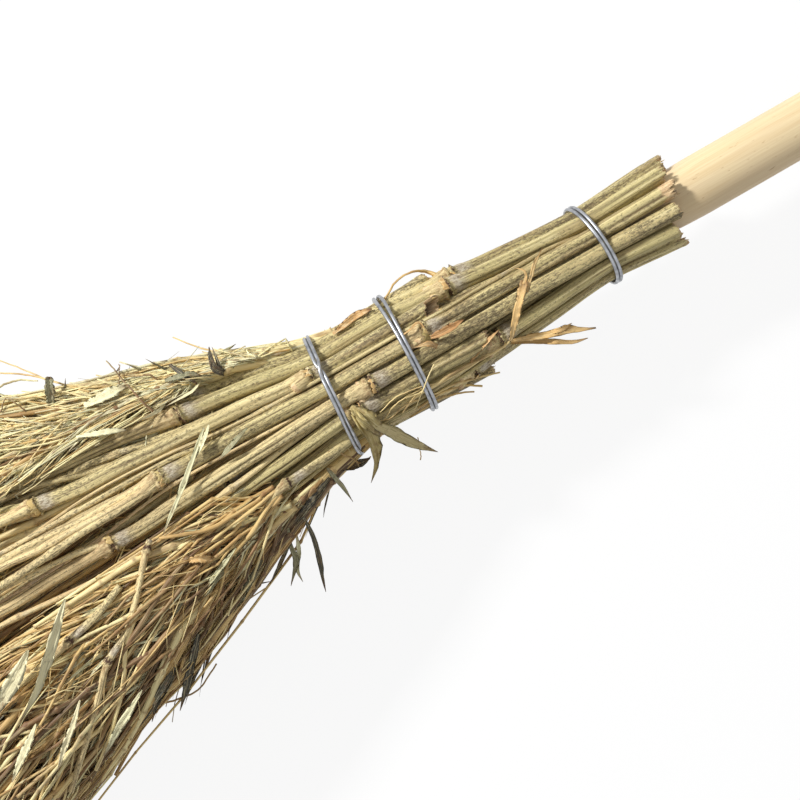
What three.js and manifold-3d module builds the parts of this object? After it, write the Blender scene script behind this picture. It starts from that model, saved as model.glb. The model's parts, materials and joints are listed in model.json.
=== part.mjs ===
// An outdoor broom: bamboo canes and twigs, bound by three wires round the point of a wooden handle.
// Sizes are in millimetres. The broom is first laid along X with its handle towards +X and the top
// wire at the origin. A reach is a distance from the top wire towards the twigs, so x is minus reach.
// A share runs from 0 to 1 along the size that it follows.

import * as THREE from 'three';
import { mergeGeometries, mergeVertices } from 'three/addons/utils/BufferGeometryUtils.js';
import Module from 'manifold-3d';

const wasm = await Module();
wasm.setup();

const { degToRad, lerp } = THREE.MathUtils;

// Fits
const fitGap = 0.3; // between pieces that touch on the real broom
const packingGap = 0.6; // between canes, which leaves room for their nodes
const weldDistance = 0.0001;

// Handle
const handleRadius = 14;
const handleBareLength = 905; // above the cut ends of the canes
const handleEndChamfer = 2.5;
const handleShoulderRise = 7; // the taper starts this far above the cut ends
const handlePointOverrun = 20.5; // the point's cone goes this far past the lower wire
const handlePointLength = 6;
const handlePointRadius = 2.5;
const handleFacets = 24;

// Binding wires
const wireRadius = 1.05;
const wireTurnGap = 0.5;
const wireTurns = 2;
const wireLift = 6.2; // length over which an end leaves the winding
const wireTwistLength = 12;
const wireTwistPitch = 12;
const wireTwistGap = 0.85;
const wireSides = 6;
const stepsPerTurn = 24;
const stepsPerTwist = 8;
const wireTwistSlope = degToRad(25);
const middleWireReach = 101;
const lowerWireSpacing = 38.5;
const topWireSlant = degToRad(-3.7);
const middleWireSlant = degToRad(2.8);
const lowerWireSlant = degToRad(5.1);

// Canes
const stubLength = 43; // the canes stand this far above the top wire
const stubFlare = 0.6;
const caneTopRadius = 3.6;
const caneMiddleRadius = 3.85;
const caneLowerRadius = 3.7;
const caneTipRadius = 1.1;
const caneSides = 6;
const nodeRise = 0.3;
const nodeHalfLength = 2.5;
const internode = 132;
const canePairs = 6; // each pair of long canes leaves room for one short cane
const bundleTurn = degToRad(32);
const innerCaneRadius = 3.4;
const innerCaneCount = 8;
const innerCaneTurn = degToRad(22.5);

// Brush
const brushLength = 560; // from the lower wire to the longest twig's tip
const brushHalfWidth = 225; // of the whole spread, if all the twigs were as long
const brushHalfThickness = 78;
const caneSpreadHalfWidth = 115; // of the canes inside it, at the same distance
const caneSpreadHalfThickness = 48;
const twigRootRadius = 0.7;
const twigTipRadius = 0.5;
const twigSides = 3;
const innerTwigSites = 300;
const outerTwigRows = 3;
const outerTwigsPerRow = 66;
const twigRootDepth = 4; // the twigs run this far into their backing
const buttPackLength = 60;
const buttPackCover = 5.5; // the packed butts end this far past the handle's point
const buttPackArcs = 6;
const collarWidth = 7; // the outer twigs grow from a band this wide round the canes
const collarLength = 6;
const floorCut = 0.5; // the lowest twigs are worn flat by this much

// Shares chosen by hand
const stubLengthShares = [1, 0.9, 0.98, 0.93, 0.86, 0.99, 0.91, 1, 0.95, 0.88, 0.97, 0.92];
const longCaneLengthShares = [0.74, 0.62, 0.8, 0.67, 0.71, 0.6, 0.78, 0.69, 0.56, 0.58, 0.66, 0.72];
const longCaneNodeShares = [0.63, 0.69, 0.88, 1.2, 0.6, 0.76, 0.66, 0.85, 1.2, 0.62, 0.8, 0.7];
const shortCaneStartShares = [0.76, 0.64, 0.66, 0.72, 0.69, 0.74];
const shortCaneLengthShares = [0.7, 0.82, 0.75, 0.66, 0.78, 0.72];
const innerCaneStartShares = [0.62, 0.7, 0.66, 0.74, 0.64, 0.72, 0.68, 0.6];
const innerCaneLengthShares = [0.72, 0.6, 0.8, 0.68, 0.76, 0.64, 0.7, 0.78];
const goldenShare = 0.618034;
const lengthScatterShare = 0.754878;
const twigShortestShare = 0.66;
const twigRoundingShare = 0.1;
const bareTopShare = 0.42; // on top, the outer twigs leave this share of the canes in view
const flatUnderShare = 0.4; // how far the brush is pressed flat underneath, where it lies

// How far the canes have spread and thinned where the twigs come out of the bundle
const mouthSpreadShare = 0.075;
const mouthTaperShare = 0.03;

// The middle of a cane in a ring of canes that lie side by side
function packedRadius(count, caneRadius) {
  return (caneRadius + packingGap / 2) / Math.sin(Math.PI / count);
}

const longCaneCount = 2 * canePairs;
const outerCaneCount = 3 * canePairs;
const lowerWireReach = middleWireReach + lowerWireSpacing;
const handlePointReach = lowerWireReach + handlePointOverrun;
const brushReach = lowerWireReach + brushLength;
const topPackRadius = packedRadius(longCaneCount, caneTopRadius);
const handleNeckRadius = topPackRadius - caneTopRadius - fitGap;
const shoulderReach = -stubLength - handleShoulderRise;
const handleEndX = stubLength + handleBareLength;

// The value of a table at a place between its rows
function between(rows, place, key) {
  const last = rows.length - 1;
  const next = rows.findIndex((row, index) => index > 0 && (row.reach >= place || index === last));
  const [low, high] = [rows[next - 1], rows[next]];
  return lerp(low[key], high[key], (place - low.reach) / (high.reach - low.reach));
}

function handleRadiusAt(reach) {
  const rows = [
    { reach: shoulderReach, radius: handleRadius },
    { reach: 0, radius: handleNeckRadius },
    { reach: handlePointReach, radius: handlePointRadius },
  ];
  return between(rows, reach, 'radius');
}

// The bundle's section: half its width and half its thickness over the outer canes, and their radius
const mouthShell = handleRadiusAt(-stubLength) + fitGap + 2 * caneTopRadius + stubFlare;
const middleShell = packedRadius(outerCaneCount, caneMiddleRadius) + caneMiddleRadius;
const lowerShell = packedRadius(outerCaneCount, caneLowerRadius) + caneLowerRadius;

const buttPackReach = handlePointReach + handlePointLength + buttPackCover;

function roundRow(reach, shell, cane) {
  return { reach, width: shell, thickness: shell, cane, taper: 0, pressed: 0 };
}

function spreadRow(reach, spread, taper) {
  return {
    reach,
    width: lerp(lowerShell, caneSpreadHalfWidth, spread),
    thickness: lerp(lowerShell, caneSpreadHalfThickness, spread),
    cane: lerp(caneLowerRadius, caneTipRadius, taper),
    taper,
    pressed: lerp(0, flatUnderShare, spread),
  };
}

const bundleRows = [
  roundRow(-stubLength, mouthShell, caneTopRadius),
  roundRow(0, topPackRadius + caneTopRadius, caneTopRadius),
  roundRow(middleWireReach, middleShell, caneMiddleRadius),
  roundRow(lowerWireReach, lowerShell, caneLowerRadius),
  spreadRow(buttPackReach, mouthSpreadShare, mouthTaperShare),
  spreadRow(brushReach, 1, 1),
];
const rowReaches = bundleRows.map((row) => row.reach);

function section(reach) {
  const keys = ['width', 'thickness', 'cane', 'taper', 'pressed'];
  return Object.fromEntries(keys.map((key) => [key, between(bundleRows, reach, key)]));
}

// A point of the section: its inset is from the outside of the outer canes, and its depth share is 0
// at the middle of the bundle and 1 at the inset. Underneath, the brush is pressed flatter.
function sectionPoint(reach, inset, depthShare, angle) {
  const { width, thickness, pressed } = section(reach);
  const height = depthShare * Math.sin(angle);
  const settled = height < 0 ? height * (1 + pressed * (1 - height ** 2)) : height;
  return { y: (width - inset) * depthShare * Math.cos(angle), z: (thickness - inset) * settled };
}

// A closed body through rings of corners, which stand square to X and run round it from +Y to +Z
function loft(rings) {
  const sides = rings[0].length;
  const faces = [];
  for (let ring = 0; ring < (rings.length - 1) * sides; ring += sides) {
    for (let side = 0; side < sides; side += 1) {
      const here = ring + side;
      const beside = ring + ((side + 1) % sides);
      faces.push(here, here + sides, beside, beside, here + sides, beside + sides);
    }
  }
  const lastRing = (rings.length - 1) * sides;
  for (let side = 2; side < sides; side += 1) {
    faces.push(0, side - 1, side, lastRing, lastRing + side, lastRing + side - 1);
  }
  const geometry = new THREE.BufferGeometry();
  geometry.setAttribute('position', new THREE.Float32BufferAttribute(rings.flat(2), 3));
  geometry.setIndex(faces);
  geometry.computeVertexNormals();
  return geometry;
}

function rod(stations, sides) {
  const turns = Array.from({ length: sides }, (_, side) => (2 * Math.PI * side) / sides);
  return loft(
    stations.map(({ reach, y, z, radius }) =>
      turns.map((turn) => [-reach, y + radius * Math.cos(turn), z + radius * Math.sin(turn)]),
    ),
  );
}

// Solids that can be cut and joined
function toSolid(geometry) {
  const bare = geometry.clone();
  bare.deleteAttribute('normal');
  bare.deleteAttribute('uv');
  const merged = mergeVertices(bare, weldDistance);
  const vertProperties = merged.attributes.position.array;
  const triVerts = new Uint32Array(merged.index.array);
  return new wasm.Manifold(new wasm.Mesh({ numProp: 3, vertProperties, triVerts }));
}

function toGeometry(solid) {
  const mesh = solid.getMesh();
  const geometry = new THREE.BufferGeometry();
  geometry.setAttribute('position', new THREE.BufferAttribute(mesh.vertProperties, mesh.numProp));
  geometry.setIndex(new THREE.BufferAttribute(mesh.triVerts, 1));
  geometry.computeVertexNormals();
  return geometry;
}

// Handle: a straight pole with a chamfered end, tapered into the bundle down to a blunt point
function handleGeometry() {
  const tipX = -handlePointReach - handlePointLength;
  const profile = [
    new THREE.Vector2(0, tipX),
    new THREE.Vector2(handlePointRadius, -handlePointReach),
    new THREE.Vector2(handleNeckRadius, 0),
    new THREE.Vector2(handleRadius, -shoulderReach),
    new THREE.Vector2(handleRadius, handleEndX - handleEndChamfer),
    new THREE.Vector2(handleRadius - handleEndChamfer, handleEndX),
    new THREE.Vector2(0, handleEndX),
  ];
  return new THREE.LatheGeometry(profile, handleFacets).rotateZ(-Math.PI / 2);
}

// The hole that the handle's point makes in what is packed round it
function pointHoleGeometry() {
  const profile = [
    new THREE.Vector2(0, -handlePointReach - handlePointLength - fitGap),
    new THREE.Vector2(handlePointRadius + fitGap, -handlePointReach - fitGap),
    new THREE.Vector2(handleNeckRadius + fitGap, 0),
    new THREE.Vector2(0, 0),
  ];
  return new THREE.LatheGeometry(profile, handleFacets).rotateZ(-Math.PI / 2);
}

// Canes: each route gives the middle of the cane at a reach
function longCaneRoute(index) {
  const side = index % 2 === 0 ? -1 : 1;
  const middle = bundleTurn + (Math.floor(index / 2) * 2 * Math.PI) / canePairs;
  return (reach) => {
    const spread = THREE.MathUtils.clamp(reach / middleWireReach, 0, 1);
    const angle = middle + (side * lerp(Math.PI / longCaneCount, Math.PI / outerCaneCount, spread));
    const { cane } = section(reach);
    return { ...sectionPoint(reach, cane, 1, angle), radius: cane };
  };
}

// A short cane lies on the two long canes beside it, and sinks between them towards the middle wire
function shortCaneRoute(index) {
  const angle = bundleTurn + ((index + 1 / 2) * 2 * Math.PI) / canePairs;
  return (reach) => {
    const { width, cane } = section(reach);
    const spread = THREE.MathUtils.clamp(reach / middleWireReach, 0, 1);
    const pairAngle = lerp(Math.PI / longCaneCount, Math.PI / outerCaneCount, spread);
    const halfOpening = Math.PI / canePairs - pairAngle;
    const ring = width - cane;
    const aside = ring * Math.sin(halfOpening);
    const reachOver = 2 * cane + packingGap;
    const rise = Math.sqrt(Math.max(0, reachOver ** 2 - aside ** 2));
    const lift = Math.max(0, ring * Math.cos(halfOpening) + rise - ring);
    return { ...sectionPoint(reach, cane - lift, 1, angle), radius: cane };
  };
}

function outerWall(reach) {
  return 2 * section(reach).cane + packingGap;
}

// The space inside the outer canes: where its share is 1, a twig just clears them
function insidePoint(reach, depthShare, angle) {
  return sectionPoint(reach, outerWall(reach) + twigRootRadius, depthShare, angle);
}

// The inner canes lie against the outer ones where the first of them starts
const firstInnerReach = Math.min(...innerCaneStartShares) * middleWireReach;
const innerSpace = section(firstInnerReach).width - outerWall(firstInnerReach);
const innerCaneDepth = (innerSpace - innerCaneRadius) / (innerSpace - twigRootRadius);

function innerCaneAngle(index) {
  return innerCaneTurn + (index * 2 * Math.PI) / innerCaneCount;
}

function innerCaneRoute(index) {
  return (reach) => ({
    ...insidePoint(reach, innerCaneDepth, innerCaneAngle(index)),
    radius: lerp(innerCaneRadius, caneTipRadius, section(reach).taper),
  });
}

// Two nodes on each cane, where it swells slightly
function caneStations(route, startReach, endReach, firstNode) {
  const nodes = [firstNode, firstNode + internode];
  const nodeEdges = nodes.flatMap((node) => [node - nodeHalfLength, node, node + nodeHalfLength]);
  const inside = [...rowReaches, ...nodeEdges].filter((r) => r > startReach && r < endReach);
  const reaches = [startReach, ...inside, endReach].sort((a, b) => a - b);
  return reaches.map((reach) => {
    const { y, z, radius } = route(reach);
    return { reach, y, z, radius: radius + (nodes.includes(reach) ? nodeRise : 0) };
  });
}

function caneEnd(lengthShare) {
  return lowerWireReach + lengthShare * brushLength;
}

function longCane(index) {
  const start = -stubLength * stubLengthShares[index];
  const end = caneEnd(longCaneLengthShares[index]);
  const firstNode = longCaneNodeShares[index] * middleWireReach;
  return caneStations(longCaneRoute(index), start, end, firstNode);
}

function shortCane(index) {
  const start = shortCaneStartShares[index] * middleWireReach;
  const end = caneEnd(shortCaneLengthShares[index]);
  return caneStations(shortCaneRoute(index), start, end, start + internode / 2);
}

function innerCane(index) {
  const start = innerCaneStartShares[index] * middleWireReach;
  const end = caneEnd(innerCaneLengthShares[index]);
  return caneStations(innerCaneRoute(index), start, end, start + internode);
}

// Twigs: the inner ones have sites on a sunflower spiral, the outer ones in rows round the canes
function innerTwigSite(index) {
  const depthShare = Math.sqrt((index + 1 / 2) / innerTwigSites);
  const angle = 2 * Math.PI * ((index * goldenShare) % 1);
  return { index, angle, depthShare, place: (reach) => insidePoint(reach, depthShare, angle) };
}

function outerTwigSite(index) {
  const row = index % outerTwigRows;
  const depthShare = (row + 1 / 2) / outerTwigRows;
  const turn = (index / outerTwigRows + ((index * lengthScatterShare) % 1) / 2) / outerTwigsPerRow;
  const angle = 2 * Math.PI * (turn % 1);
  const clear = twigRootRadius + nodeRise + fitGap;
  const place = (reach) => {
    const { width, thickness } = section(reach);
    const spread = (reach - buttPackReach) / (brushReach - buttPackReach);
    const bandWidth = lerp(collarWidth, brushHalfWidth - width, spread);
    const bandThickness = lerp(collarWidth, brushHalfThickness - thickness, spread);
    const edge = sectionPoint(reach, -clear, 1, angle);
    return {
      y: edge.y + (bandWidth - clear) * depthShare * Math.cos(angle),
      z: edge.z + (bandThickness - clear) * depthShare * Math.sin(angle),
    };
  };
  return { index, angle, depthShare, place };
}

function offTheTop({ angle }) {
  return Math.abs(angle - Math.PI / 2) > (bareTopShare * Math.PI) / 2;
}

function clearsSeams({ place }) {
  const here = place(buttPackReach);
  const seam = twigRootRadius + fitGap;
  return Math.abs(here.y) > seam && Math.abs(here.z) > seam;
}

function clearsInnerCanes({ place }) {
  const here = place(buttPackReach);
  for (let cane = 0; cane < innerCaneCount; cane += 1) {
    const other = insidePoint(buttPackReach, innerCaneDepth, innerCaneAngle(cane));
    const apart = Math.hypot(here.y - other.y, here.z - other.z);
    if (apart < innerCaneRadius + twigRootRadius + packingGap) {
      return false;
    }
  }
  return true;
}

function twigStations({ index, depthShare, place }) {
  const shortening = twigRoundingShare * depthShare ** 2;
  const scatter = (1 - twigShortestShare - twigRoundingShare) * ((index * lengthScatterShare) % 1);
  const end = lowerWireReach + brushLength * (1 - shortening - scatter);
  const start = buttPackReach - twigRootDepth;
  return [start, buttPackReach, end].map((reach) => ({
    reach,
    ...place(Math.max(reach, buttPackReach)),
    radius: lerp(twigRootRadius, twigTipRadius, (reach - start) / (brushReach - start)),
  }));
}

// A quarter of the bundle's section, drawn out through some reaches
function quarterLoft(quarter, reaches, insetAt) {
  return loft(
    reaches.map((reach) => {
      const corners = [[-reach, 0, 0]];
      for (let arc = 0; arc <= buttPackArcs; arc += 1) {
        const angle = (Math.PI / 2) * (quarter + arc / buttPackArcs);
        const { y, z } = sectionPoint(reach, insetAt(reach), 1, angle);
        corners.push([-reach, y, z]);
      }
      return corners;
    }),
  );
}

// The packed butts of one quarter of the twigs: a core inside the canes, and a collar round them
function buttPackSolid(quarter) {
  const coreReaches = [buttPackReach - buttPackLength, lowerWireReach, buttPackReach];
  const core = toSolid(quarterLoft(quarter, coreReaches, outerWall));
  const collarReaches = [buttPackReach - collarLength, buttPackReach];
  const collar = toSolid(quarterLoft(quarter, collarReaches, () => -collarWidth));
  return core.add(collar);
}

// The seams that part the quarters, as one cross of two thin plates
function seamSolid() {
  const span = 2 * brushHalfWidth;
  const along = 2 * brushReach;
  const upright = toSolid(new THREE.BoxGeometry(along, fitGap, span));
  const level = toSolid(new THREE.BoxGeometry(along, span, fitGap));
  return upright.add(level);
}

function grownRod(stations) {
  const grown = stations.map((station) => ({ ...station, radius: station.radius + fitGap }));
  return toSolid(rod(grown, caneSides));
}

function twigBundle(quarter) {
  let backing = buttPackSolid(quarter).subtract(toSolid(pointHoleGeometry())).subtract(seamSolid());
  for (const stations of [...longCanes, ...shortCanes, ...innerCanes]) {
    backing = backing.subtract(grownRod(stations));
  }
  const sites = twigSites.filter(({ angle }) => Math.floor(angle / (Math.PI / 2)) === quarter);
  const strands = sites.map((site) => rod(twigStations(site), twigSides));
  return backing.add(toSolid(mergeGeometries(strands)));
}

// Wires: the centre line runs in through the twist, round the bundle and out through the twist
class StationCurve extends THREE.CatmullRomCurve3 {
  getUtoTmapping(share) {
    return share;
  }
}

// Where an end leaves the winding, in wire radii: along the broom, across, and out from the ring
const leavingShares = [
  { along: -2.3, across: 3.8, out: 2.4 },
  { along: 1, across: 1.9, out: 3.8 },
];
const returningShares = [
  { along: 2.8, across: -4.0, out: 1.4 },
  { along: 3.4, across: -2.1, out: 2.9 },
];
const twistRootShares = { along: 4.4, out: 4.2 };

function wireRing(reach, slant) {
  const band = wireRadius + wireTurnGap + wireRadius;
  const slope = Math.abs(Math.tan(slant)) * section(reach).width;
  const widest = Math.max(section(reach - band - slope).width, section(reach + band + slope).width);
  return widest + fitGap + wireRadius;
}

// One end's twist round the other, from its root outwards, and a straight tip
function twistPoints(place, phase) {
  const twistRadius = wireRadius + wireTwistGap / 2;
  const forward = { along: Math.cos(wireTwistSlope), out: Math.sin(wireTwistSlope) };
  const twistSteps = Math.round((wireTwistLength / wireTwistPitch) * stepsPerTwist);
  const stepLength = wireTwistLength / twistSteps;
  const distances = Array.from({ length: twistSteps + 1 }, (_, step) => step * stepLength);
  distances.push(wireTwistLength + 2 * wireRadius);
  return distances.map((distance) => {
    const turned = Math.min(distance, wireTwistLength) / wireTwistPitch;
    const angle = phase + 2 * Math.PI * turned;
    const raised = twistRadius * Math.sin(angle);
    const along = wireRadius * twistRootShares.along + distance * forward.along - raised * forward.out;
    const out = wireRadius * twistRootShares.out + distance * forward.out + raised * forward.along;
    return place(along, twistRadius * Math.cos(angle), out);
  });
}

function wirePoints({ reach, slant }) {
  const ringRadius = wireRing(reach, slant);
  const turnPitch = 2 * wireRadius + wireTurnGap;
  const liftAngle = wireLift / ringRadius;
  const windingAngle = wireTurns * 2 * Math.PI - 2 * liftAngle;
  const windingSteps = Math.round((windingAngle / (2 * Math.PI)) * stepsPerTurn);
  const place = (along, across, out) =>
    new THREE.Vector3(along - reach + across * Math.tan(slant), across, -ringRadius - out);
  const bridge = (shares) =>
    shares.map(({ along, across, out }) => place(wireRadius * along, wireRadius * across, wireRadius * out));
  const winding = [];
  for (let step = 0; step <= windingSteps; step += 1) {
    const turned = liftAngle + (step / windingSteps) * windingAngle;
    const angle = turned - Math.PI / 2;
    const y = ringRadius * Math.cos(angle);
    const x = turnPitch * (turned / (2 * Math.PI) - wireTurns / 2) - reach + y * Math.tan(slant);
    winding.push(new THREE.Vector3(x, y, ringRadius * Math.sin(angle)));
  }
  return [
    ...twistPoints(place, 0).reverse(),
    ...bridge(leavingShares).reverse(),
    ...winding,
    ...bridge(returningShares),
    ...twistPoints(place, Math.PI),
  ];
}

function wireGeometry(wire) {
  const points = wirePoints(wire);
  const outline = new THREE.Shape();
  for (let side = 0; side < wireSides; side += 1) {
    const angle = (2 * Math.PI * side) / wireSides;
    const corner = [wireRadius * Math.cos(angle), wireRadius * Math.sin(angle)];
    if (side === 0) {
      outline.moveTo(...corner);
    } else {
      outline.lineTo(...corner);
    }
  }
  return new THREE.ExtrudeGeometry(outline, {
    steps: points.length - 1,
    extrudePath: new StationCurve(points),
    bevelEnabled: false,
  });
}

// The least gap of a wire to itself, measured between points on its centre line
function leastGap(points) {
  const spacing = wireRadius / 4;
  const marks = [];
  let travelled = 0;
  for (let index = 1; index < points.length; index += 1) {
    const [from, to] = [points[index - 1], points[index]];
    const length = from.distanceTo(to);
    const parts = Math.ceil(length / spacing);
    for (let part = 0; part < parts; part += 1) {
      const at = from.clone().lerp(to, part / parts);
      marks.push({ at, travelled: travelled + (length * part) / parts });
    }
    travelled += length;
  }
  let least = Infinity;
  for (let first = 0; first < marks.length; first += 1) {
    for (let second = first + 1; second < marks.length; second += 1) {
      if (marks[second].travelled - marks[first].travelled > 2 * Math.PI * wireRadius) {
        least = Math.min(least, marks[first].at.distanceTo(marks[second].at));
      }
    }
  }
  return least - 2 * wireRadius;
}

// Finishes
const handleWood = { color: 0xdcc48f, roughness: 0.55, metalness: 0 };
const caneBamboo = { color: 0xb3a477, roughness: 0.6, metalness: 0 };
const twigBamboo = { color: 0xb98a4a, roughness: 0.8, metalness: 0 };
const bindingWire = { color: 0xa9adb0, roughness: 0.35, metalness: 1 };

const laid = new THREE.Group();

function addPiece(name, geometry, finish) {
  const mesh = new THREE.Mesh(geometry, new THREE.MeshStandardMaterial(finish));
  mesh.name = name;
  laid.add(mesh);
}

function numbered(name, index) {
  return `${name}_${String(index + 1).padStart(2, '0')}`;
}

function series(count, make) {
  return Array.from({ length: count }, (_, index) => make(index));
}

const longCanes = series(longCaneCount, longCane);
const shortCanes = series(canePairs, shortCane);
const innerCanes = series(innerCaneCount, innerCane);

addPiece('handle', handleGeometry(), handleWood);
longCanes.forEach((stations, index) => {
  addPiece(numbered('long_cane', index), rod(stations, caneSides), caneBamboo);
});
shortCanes.forEach((stations, index) => {
  addPiece(numbered('short_cane', index), rod(stations, caneSides), caneBamboo);
});
innerCanes.forEach((stations, index) => {
  addPiece(numbered('inner_cane', index), rod(stations, caneSides), caneBamboo);
});

const wires = [
  { name: 'top_wire', reach: 0, slant: topWireSlant },
  { name: 'middle_wire', reach: middleWireReach, slant: middleWireSlant },
  { name: 'lower_wire', reach: lowerWireReach, slant: lowerWireSlant },
];
for (const wire of wires) {
  addPiece(wire.name, wireGeometry(wire), bindingWire);
  console.log(`${wire.name}: least gap to itself ${leastGap(wirePoints(wire)).toFixed(2)} mm`);
}

// The broom lies on its lowest twigs and on the end of its handle, so it leans by a small angle
const innerTwigs = series(innerTwigSites, innerTwigSite).filter(clearsInnerCanes);
const outerTwigs = series(outerTwigRows * outerTwigsPerRow, outerTwigSite).filter(offTheTop);
const twigSites = [...innerTwigs, ...outerTwigs].filter(clearsSeams);
const twigQuarters = ['upper_left_twigs', 'upper_right_twigs', 'lower_right_twigs', 'lower_left_twigs'];
const twigSolids = twigQuarters.map((_, quarter) => twigBundle(quarter));
console.log(`twigs: ${twigSites.length} strands`);

function leanOver(solid) {
  const { vertProperties, numProp } = solid.getMesh();
  let steepest = 0;
  for (let at = 0; at < vertProperties.length; at += numProp) {
    const drop = -vertProperties[at + 2] - floorCut - handleRadius;
    steepest = Math.max(steepest, Math.atan2(drop, handleEndX - handleEndChamfer - vertProperties[at]));
  }
  return steepest;
}

const lean = Math.max(...twigSolids.map(leanOver));

// The floor is a slab under the line from the handle's end to the lowest twigs
const floorDepth = brushHalfThickness;
const floorLength = 2 * (handleEndX + brushReach);
const floorSlab = new THREE.BoxGeometry(floorLength, 2 * brushHalfWidth, floorDepth)
  .translate(0, 0, -floorDepth / 2)
  .rotateY(-lean)
  .translate(handleEndX - handleEndChamfer, 0, -handleRadius);
const floorSolid = toSolid(floorSlab);
twigSolids.forEach((solid, quarter) => {
  addPiece(twigQuarters[quarter], toGeometry(solid.subtract(floorSolid)), twigBamboo);
});

laid.rotation.y = lean;
const broom = new THREE.Group();
broom.name = 'outdoor_broom';
broom.add(laid);
broom.updateMatrixWorld(true);
const extent = new THREE.Box3().setFromObject(broom, true);
const middle = extent.getCenter(new THREE.Vector3());
laid.position.set(-middle.x, -middle.y, -extent.min.z);

export default broom;
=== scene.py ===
"""The looks of an outdoor broom: bamboo canes and twigs, bound by three wires round a wooden handle.

The broom is laid out in millimetres along its own axis: x is zero at the top wire and grows towards
the handle's end, y is across the brush and z is up. A reach is a distance from the top wire towards
the twigs, so x is minus reach. Angles round the axis run from +y to +z.
"""

import json
import math

import bpy
import numpy as np
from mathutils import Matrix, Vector


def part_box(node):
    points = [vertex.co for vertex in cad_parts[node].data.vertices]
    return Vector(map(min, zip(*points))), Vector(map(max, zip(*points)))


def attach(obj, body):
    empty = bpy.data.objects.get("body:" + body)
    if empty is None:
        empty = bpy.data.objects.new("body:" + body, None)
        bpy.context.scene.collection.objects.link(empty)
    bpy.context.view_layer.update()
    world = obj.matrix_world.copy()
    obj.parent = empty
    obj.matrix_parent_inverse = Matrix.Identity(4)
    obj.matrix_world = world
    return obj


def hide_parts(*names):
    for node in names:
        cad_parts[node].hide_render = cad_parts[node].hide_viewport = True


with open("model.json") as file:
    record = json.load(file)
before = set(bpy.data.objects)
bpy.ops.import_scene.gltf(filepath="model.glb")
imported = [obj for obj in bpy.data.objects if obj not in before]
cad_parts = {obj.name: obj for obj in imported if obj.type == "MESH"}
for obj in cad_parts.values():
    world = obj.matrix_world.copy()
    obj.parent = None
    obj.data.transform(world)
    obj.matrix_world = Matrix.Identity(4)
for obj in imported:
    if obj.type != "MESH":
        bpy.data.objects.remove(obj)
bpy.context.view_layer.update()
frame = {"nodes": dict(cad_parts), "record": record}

MM = 0.001
record = frame["record"]

# The broom's own axes in the row frame
HANDLE_END_X = 948.0
axis_down = np.array(record["behaviour"]["joints"][0]["axis"], float)
AXES = np.zeros((3, 3))
AXES[0] = -axis_down / np.linalg.norm(axis_down)
AXES[1] = (0, 1, 0)
AXES[2] = np.cross(AXES[0], AXES[1])
ORIGIN = np.array(record["mounts"][0]["pos_m"], float) - AXES[0] * HANDLE_END_X * MM


def to_world(points):
    return ORIGIN + (np.asarray(points, float) * MM) @ AXES


def to_laid(points):
    return ((np.asarray(points, float) - ORIGIN) / MM) @ AXES.T


def floor_height(x):
    """The laid height of the floor under a place along the broom."""
    return -(ORIGIN[2] / MM + x * AXES[0][2]) / AXES[2][2]


# Camera
IMAGE_SIDE = 800
FOCAL_PIXELS = 1200.0
SENSOR = 36.0
VIEW_CENTRE = (-113.9, -17.4, 0.0)  # what the middle of the picture shows, on the broom's axis plane
VIEW_HEIGHT = 0.555
VIEW_TURN = math.radians(-30)

camera_data = bpy.data.cameras.new("camera")
camera_data.sensor_width = SENSOR
camera_data.lens = SENSOR * FOCAL_PIXELS / IMAGE_SIDE
camera_data.clip_start = 0.01
camera = bpy.data.objects.new("camera", camera_data)
bpy.context.scene.collection.objects.link(camera)
EYE = to_world(VIEW_CENTRE) + np.array([0, 0, VIEW_HEIGHT])
camera.location = EYE
camera.rotation_euler = (0, 0, VIEW_TURN)
bpy.context.scene.camera = camera
IMAGE_RIGHT = np.array([math.cos(VIEW_TURN), math.sin(VIEW_TURN), 0])
IMAGE_UP = np.array([-math.sin(VIEW_TURN), math.cos(VIEW_TURN), 0])


def seen(px, py, height):
    """The laid point that shows at a pixel of the picture, at a height over the broom's axis."""
    half = IMAGE_SIDE / 2
    ray = IMAGE_RIGHT * (px - half) / FOCAL_PIXELS + IMAGE_UP * (half - py) / FOCAL_PIXELS
    ray = ray - np.array([0, 0, 1.0])
    eye_height = (EYE - ORIGIN) @ AXES[2] / MM
    distance = (height - eye_height) / (ray @ AXES[2])
    return to_laid(EYE + ray * distance * MM)


# The bundle's section
STUB_LENGTH = 43.0
MIDDLE_REACH = 101.0
LOWER_REACH = 139.5
MOUTH_REACH = 171.5
BRUSH_LENGTH = 560.0
BRUSH_REACH = LOWER_REACH + BRUSH_LENGTH
STUB_SHELL = 21.7
TOP_SHELL = 18.7
MIDDLE_SHELL = 27.7
LOWER_SHELL = 26.7
CANE_SPREAD = (115.0, 48.0)
FAN_SLOPE = 0.404
FAN_EASE = 0.257
FAN_RISE = 0.06
FAN_DROP = 0.12
PRESSED = 0.4
MOUTH_SHARE = 0.075


def cane_ring(reach):
    """Half the width and half the thickness over the canes."""
    reaches = [-STUB_LENGTH, 0, MIDDLE_REACH, LOWER_REACH, MOUTH_REACH, BRUSH_REACH]
    widths = [STUB_SHELL, TOP_SHELL, MIDDLE_SHELL, LOWER_SHELL]
    mouth = [LOWER_SHELL + (side - LOWER_SHELL) * MOUTH_SHARE for side in CANE_SPREAD]
    width = np.interp(reach, reaches, [*widths, mouth[0], CANE_SPREAD[0]])
    thickness = np.interp(reach, reaches, [*widths, mouth[1], CANE_SPREAD[1]])
    return width, thickness


def fan(reach):
    """Half the width of the whole brush, and how far it goes up and down from the axis."""
    past = np.clip(reach - LOWER_REACH, 0, None)
    width = LOWER_SHELL + FAN_SLOPE * past * (1 - FAN_EASE * (past / BRUSH_LENGTH) ** 2)
    return width, LOWER_SHELL + FAN_RISE * past, LOWER_SHELL + FAN_DROP * past


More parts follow.
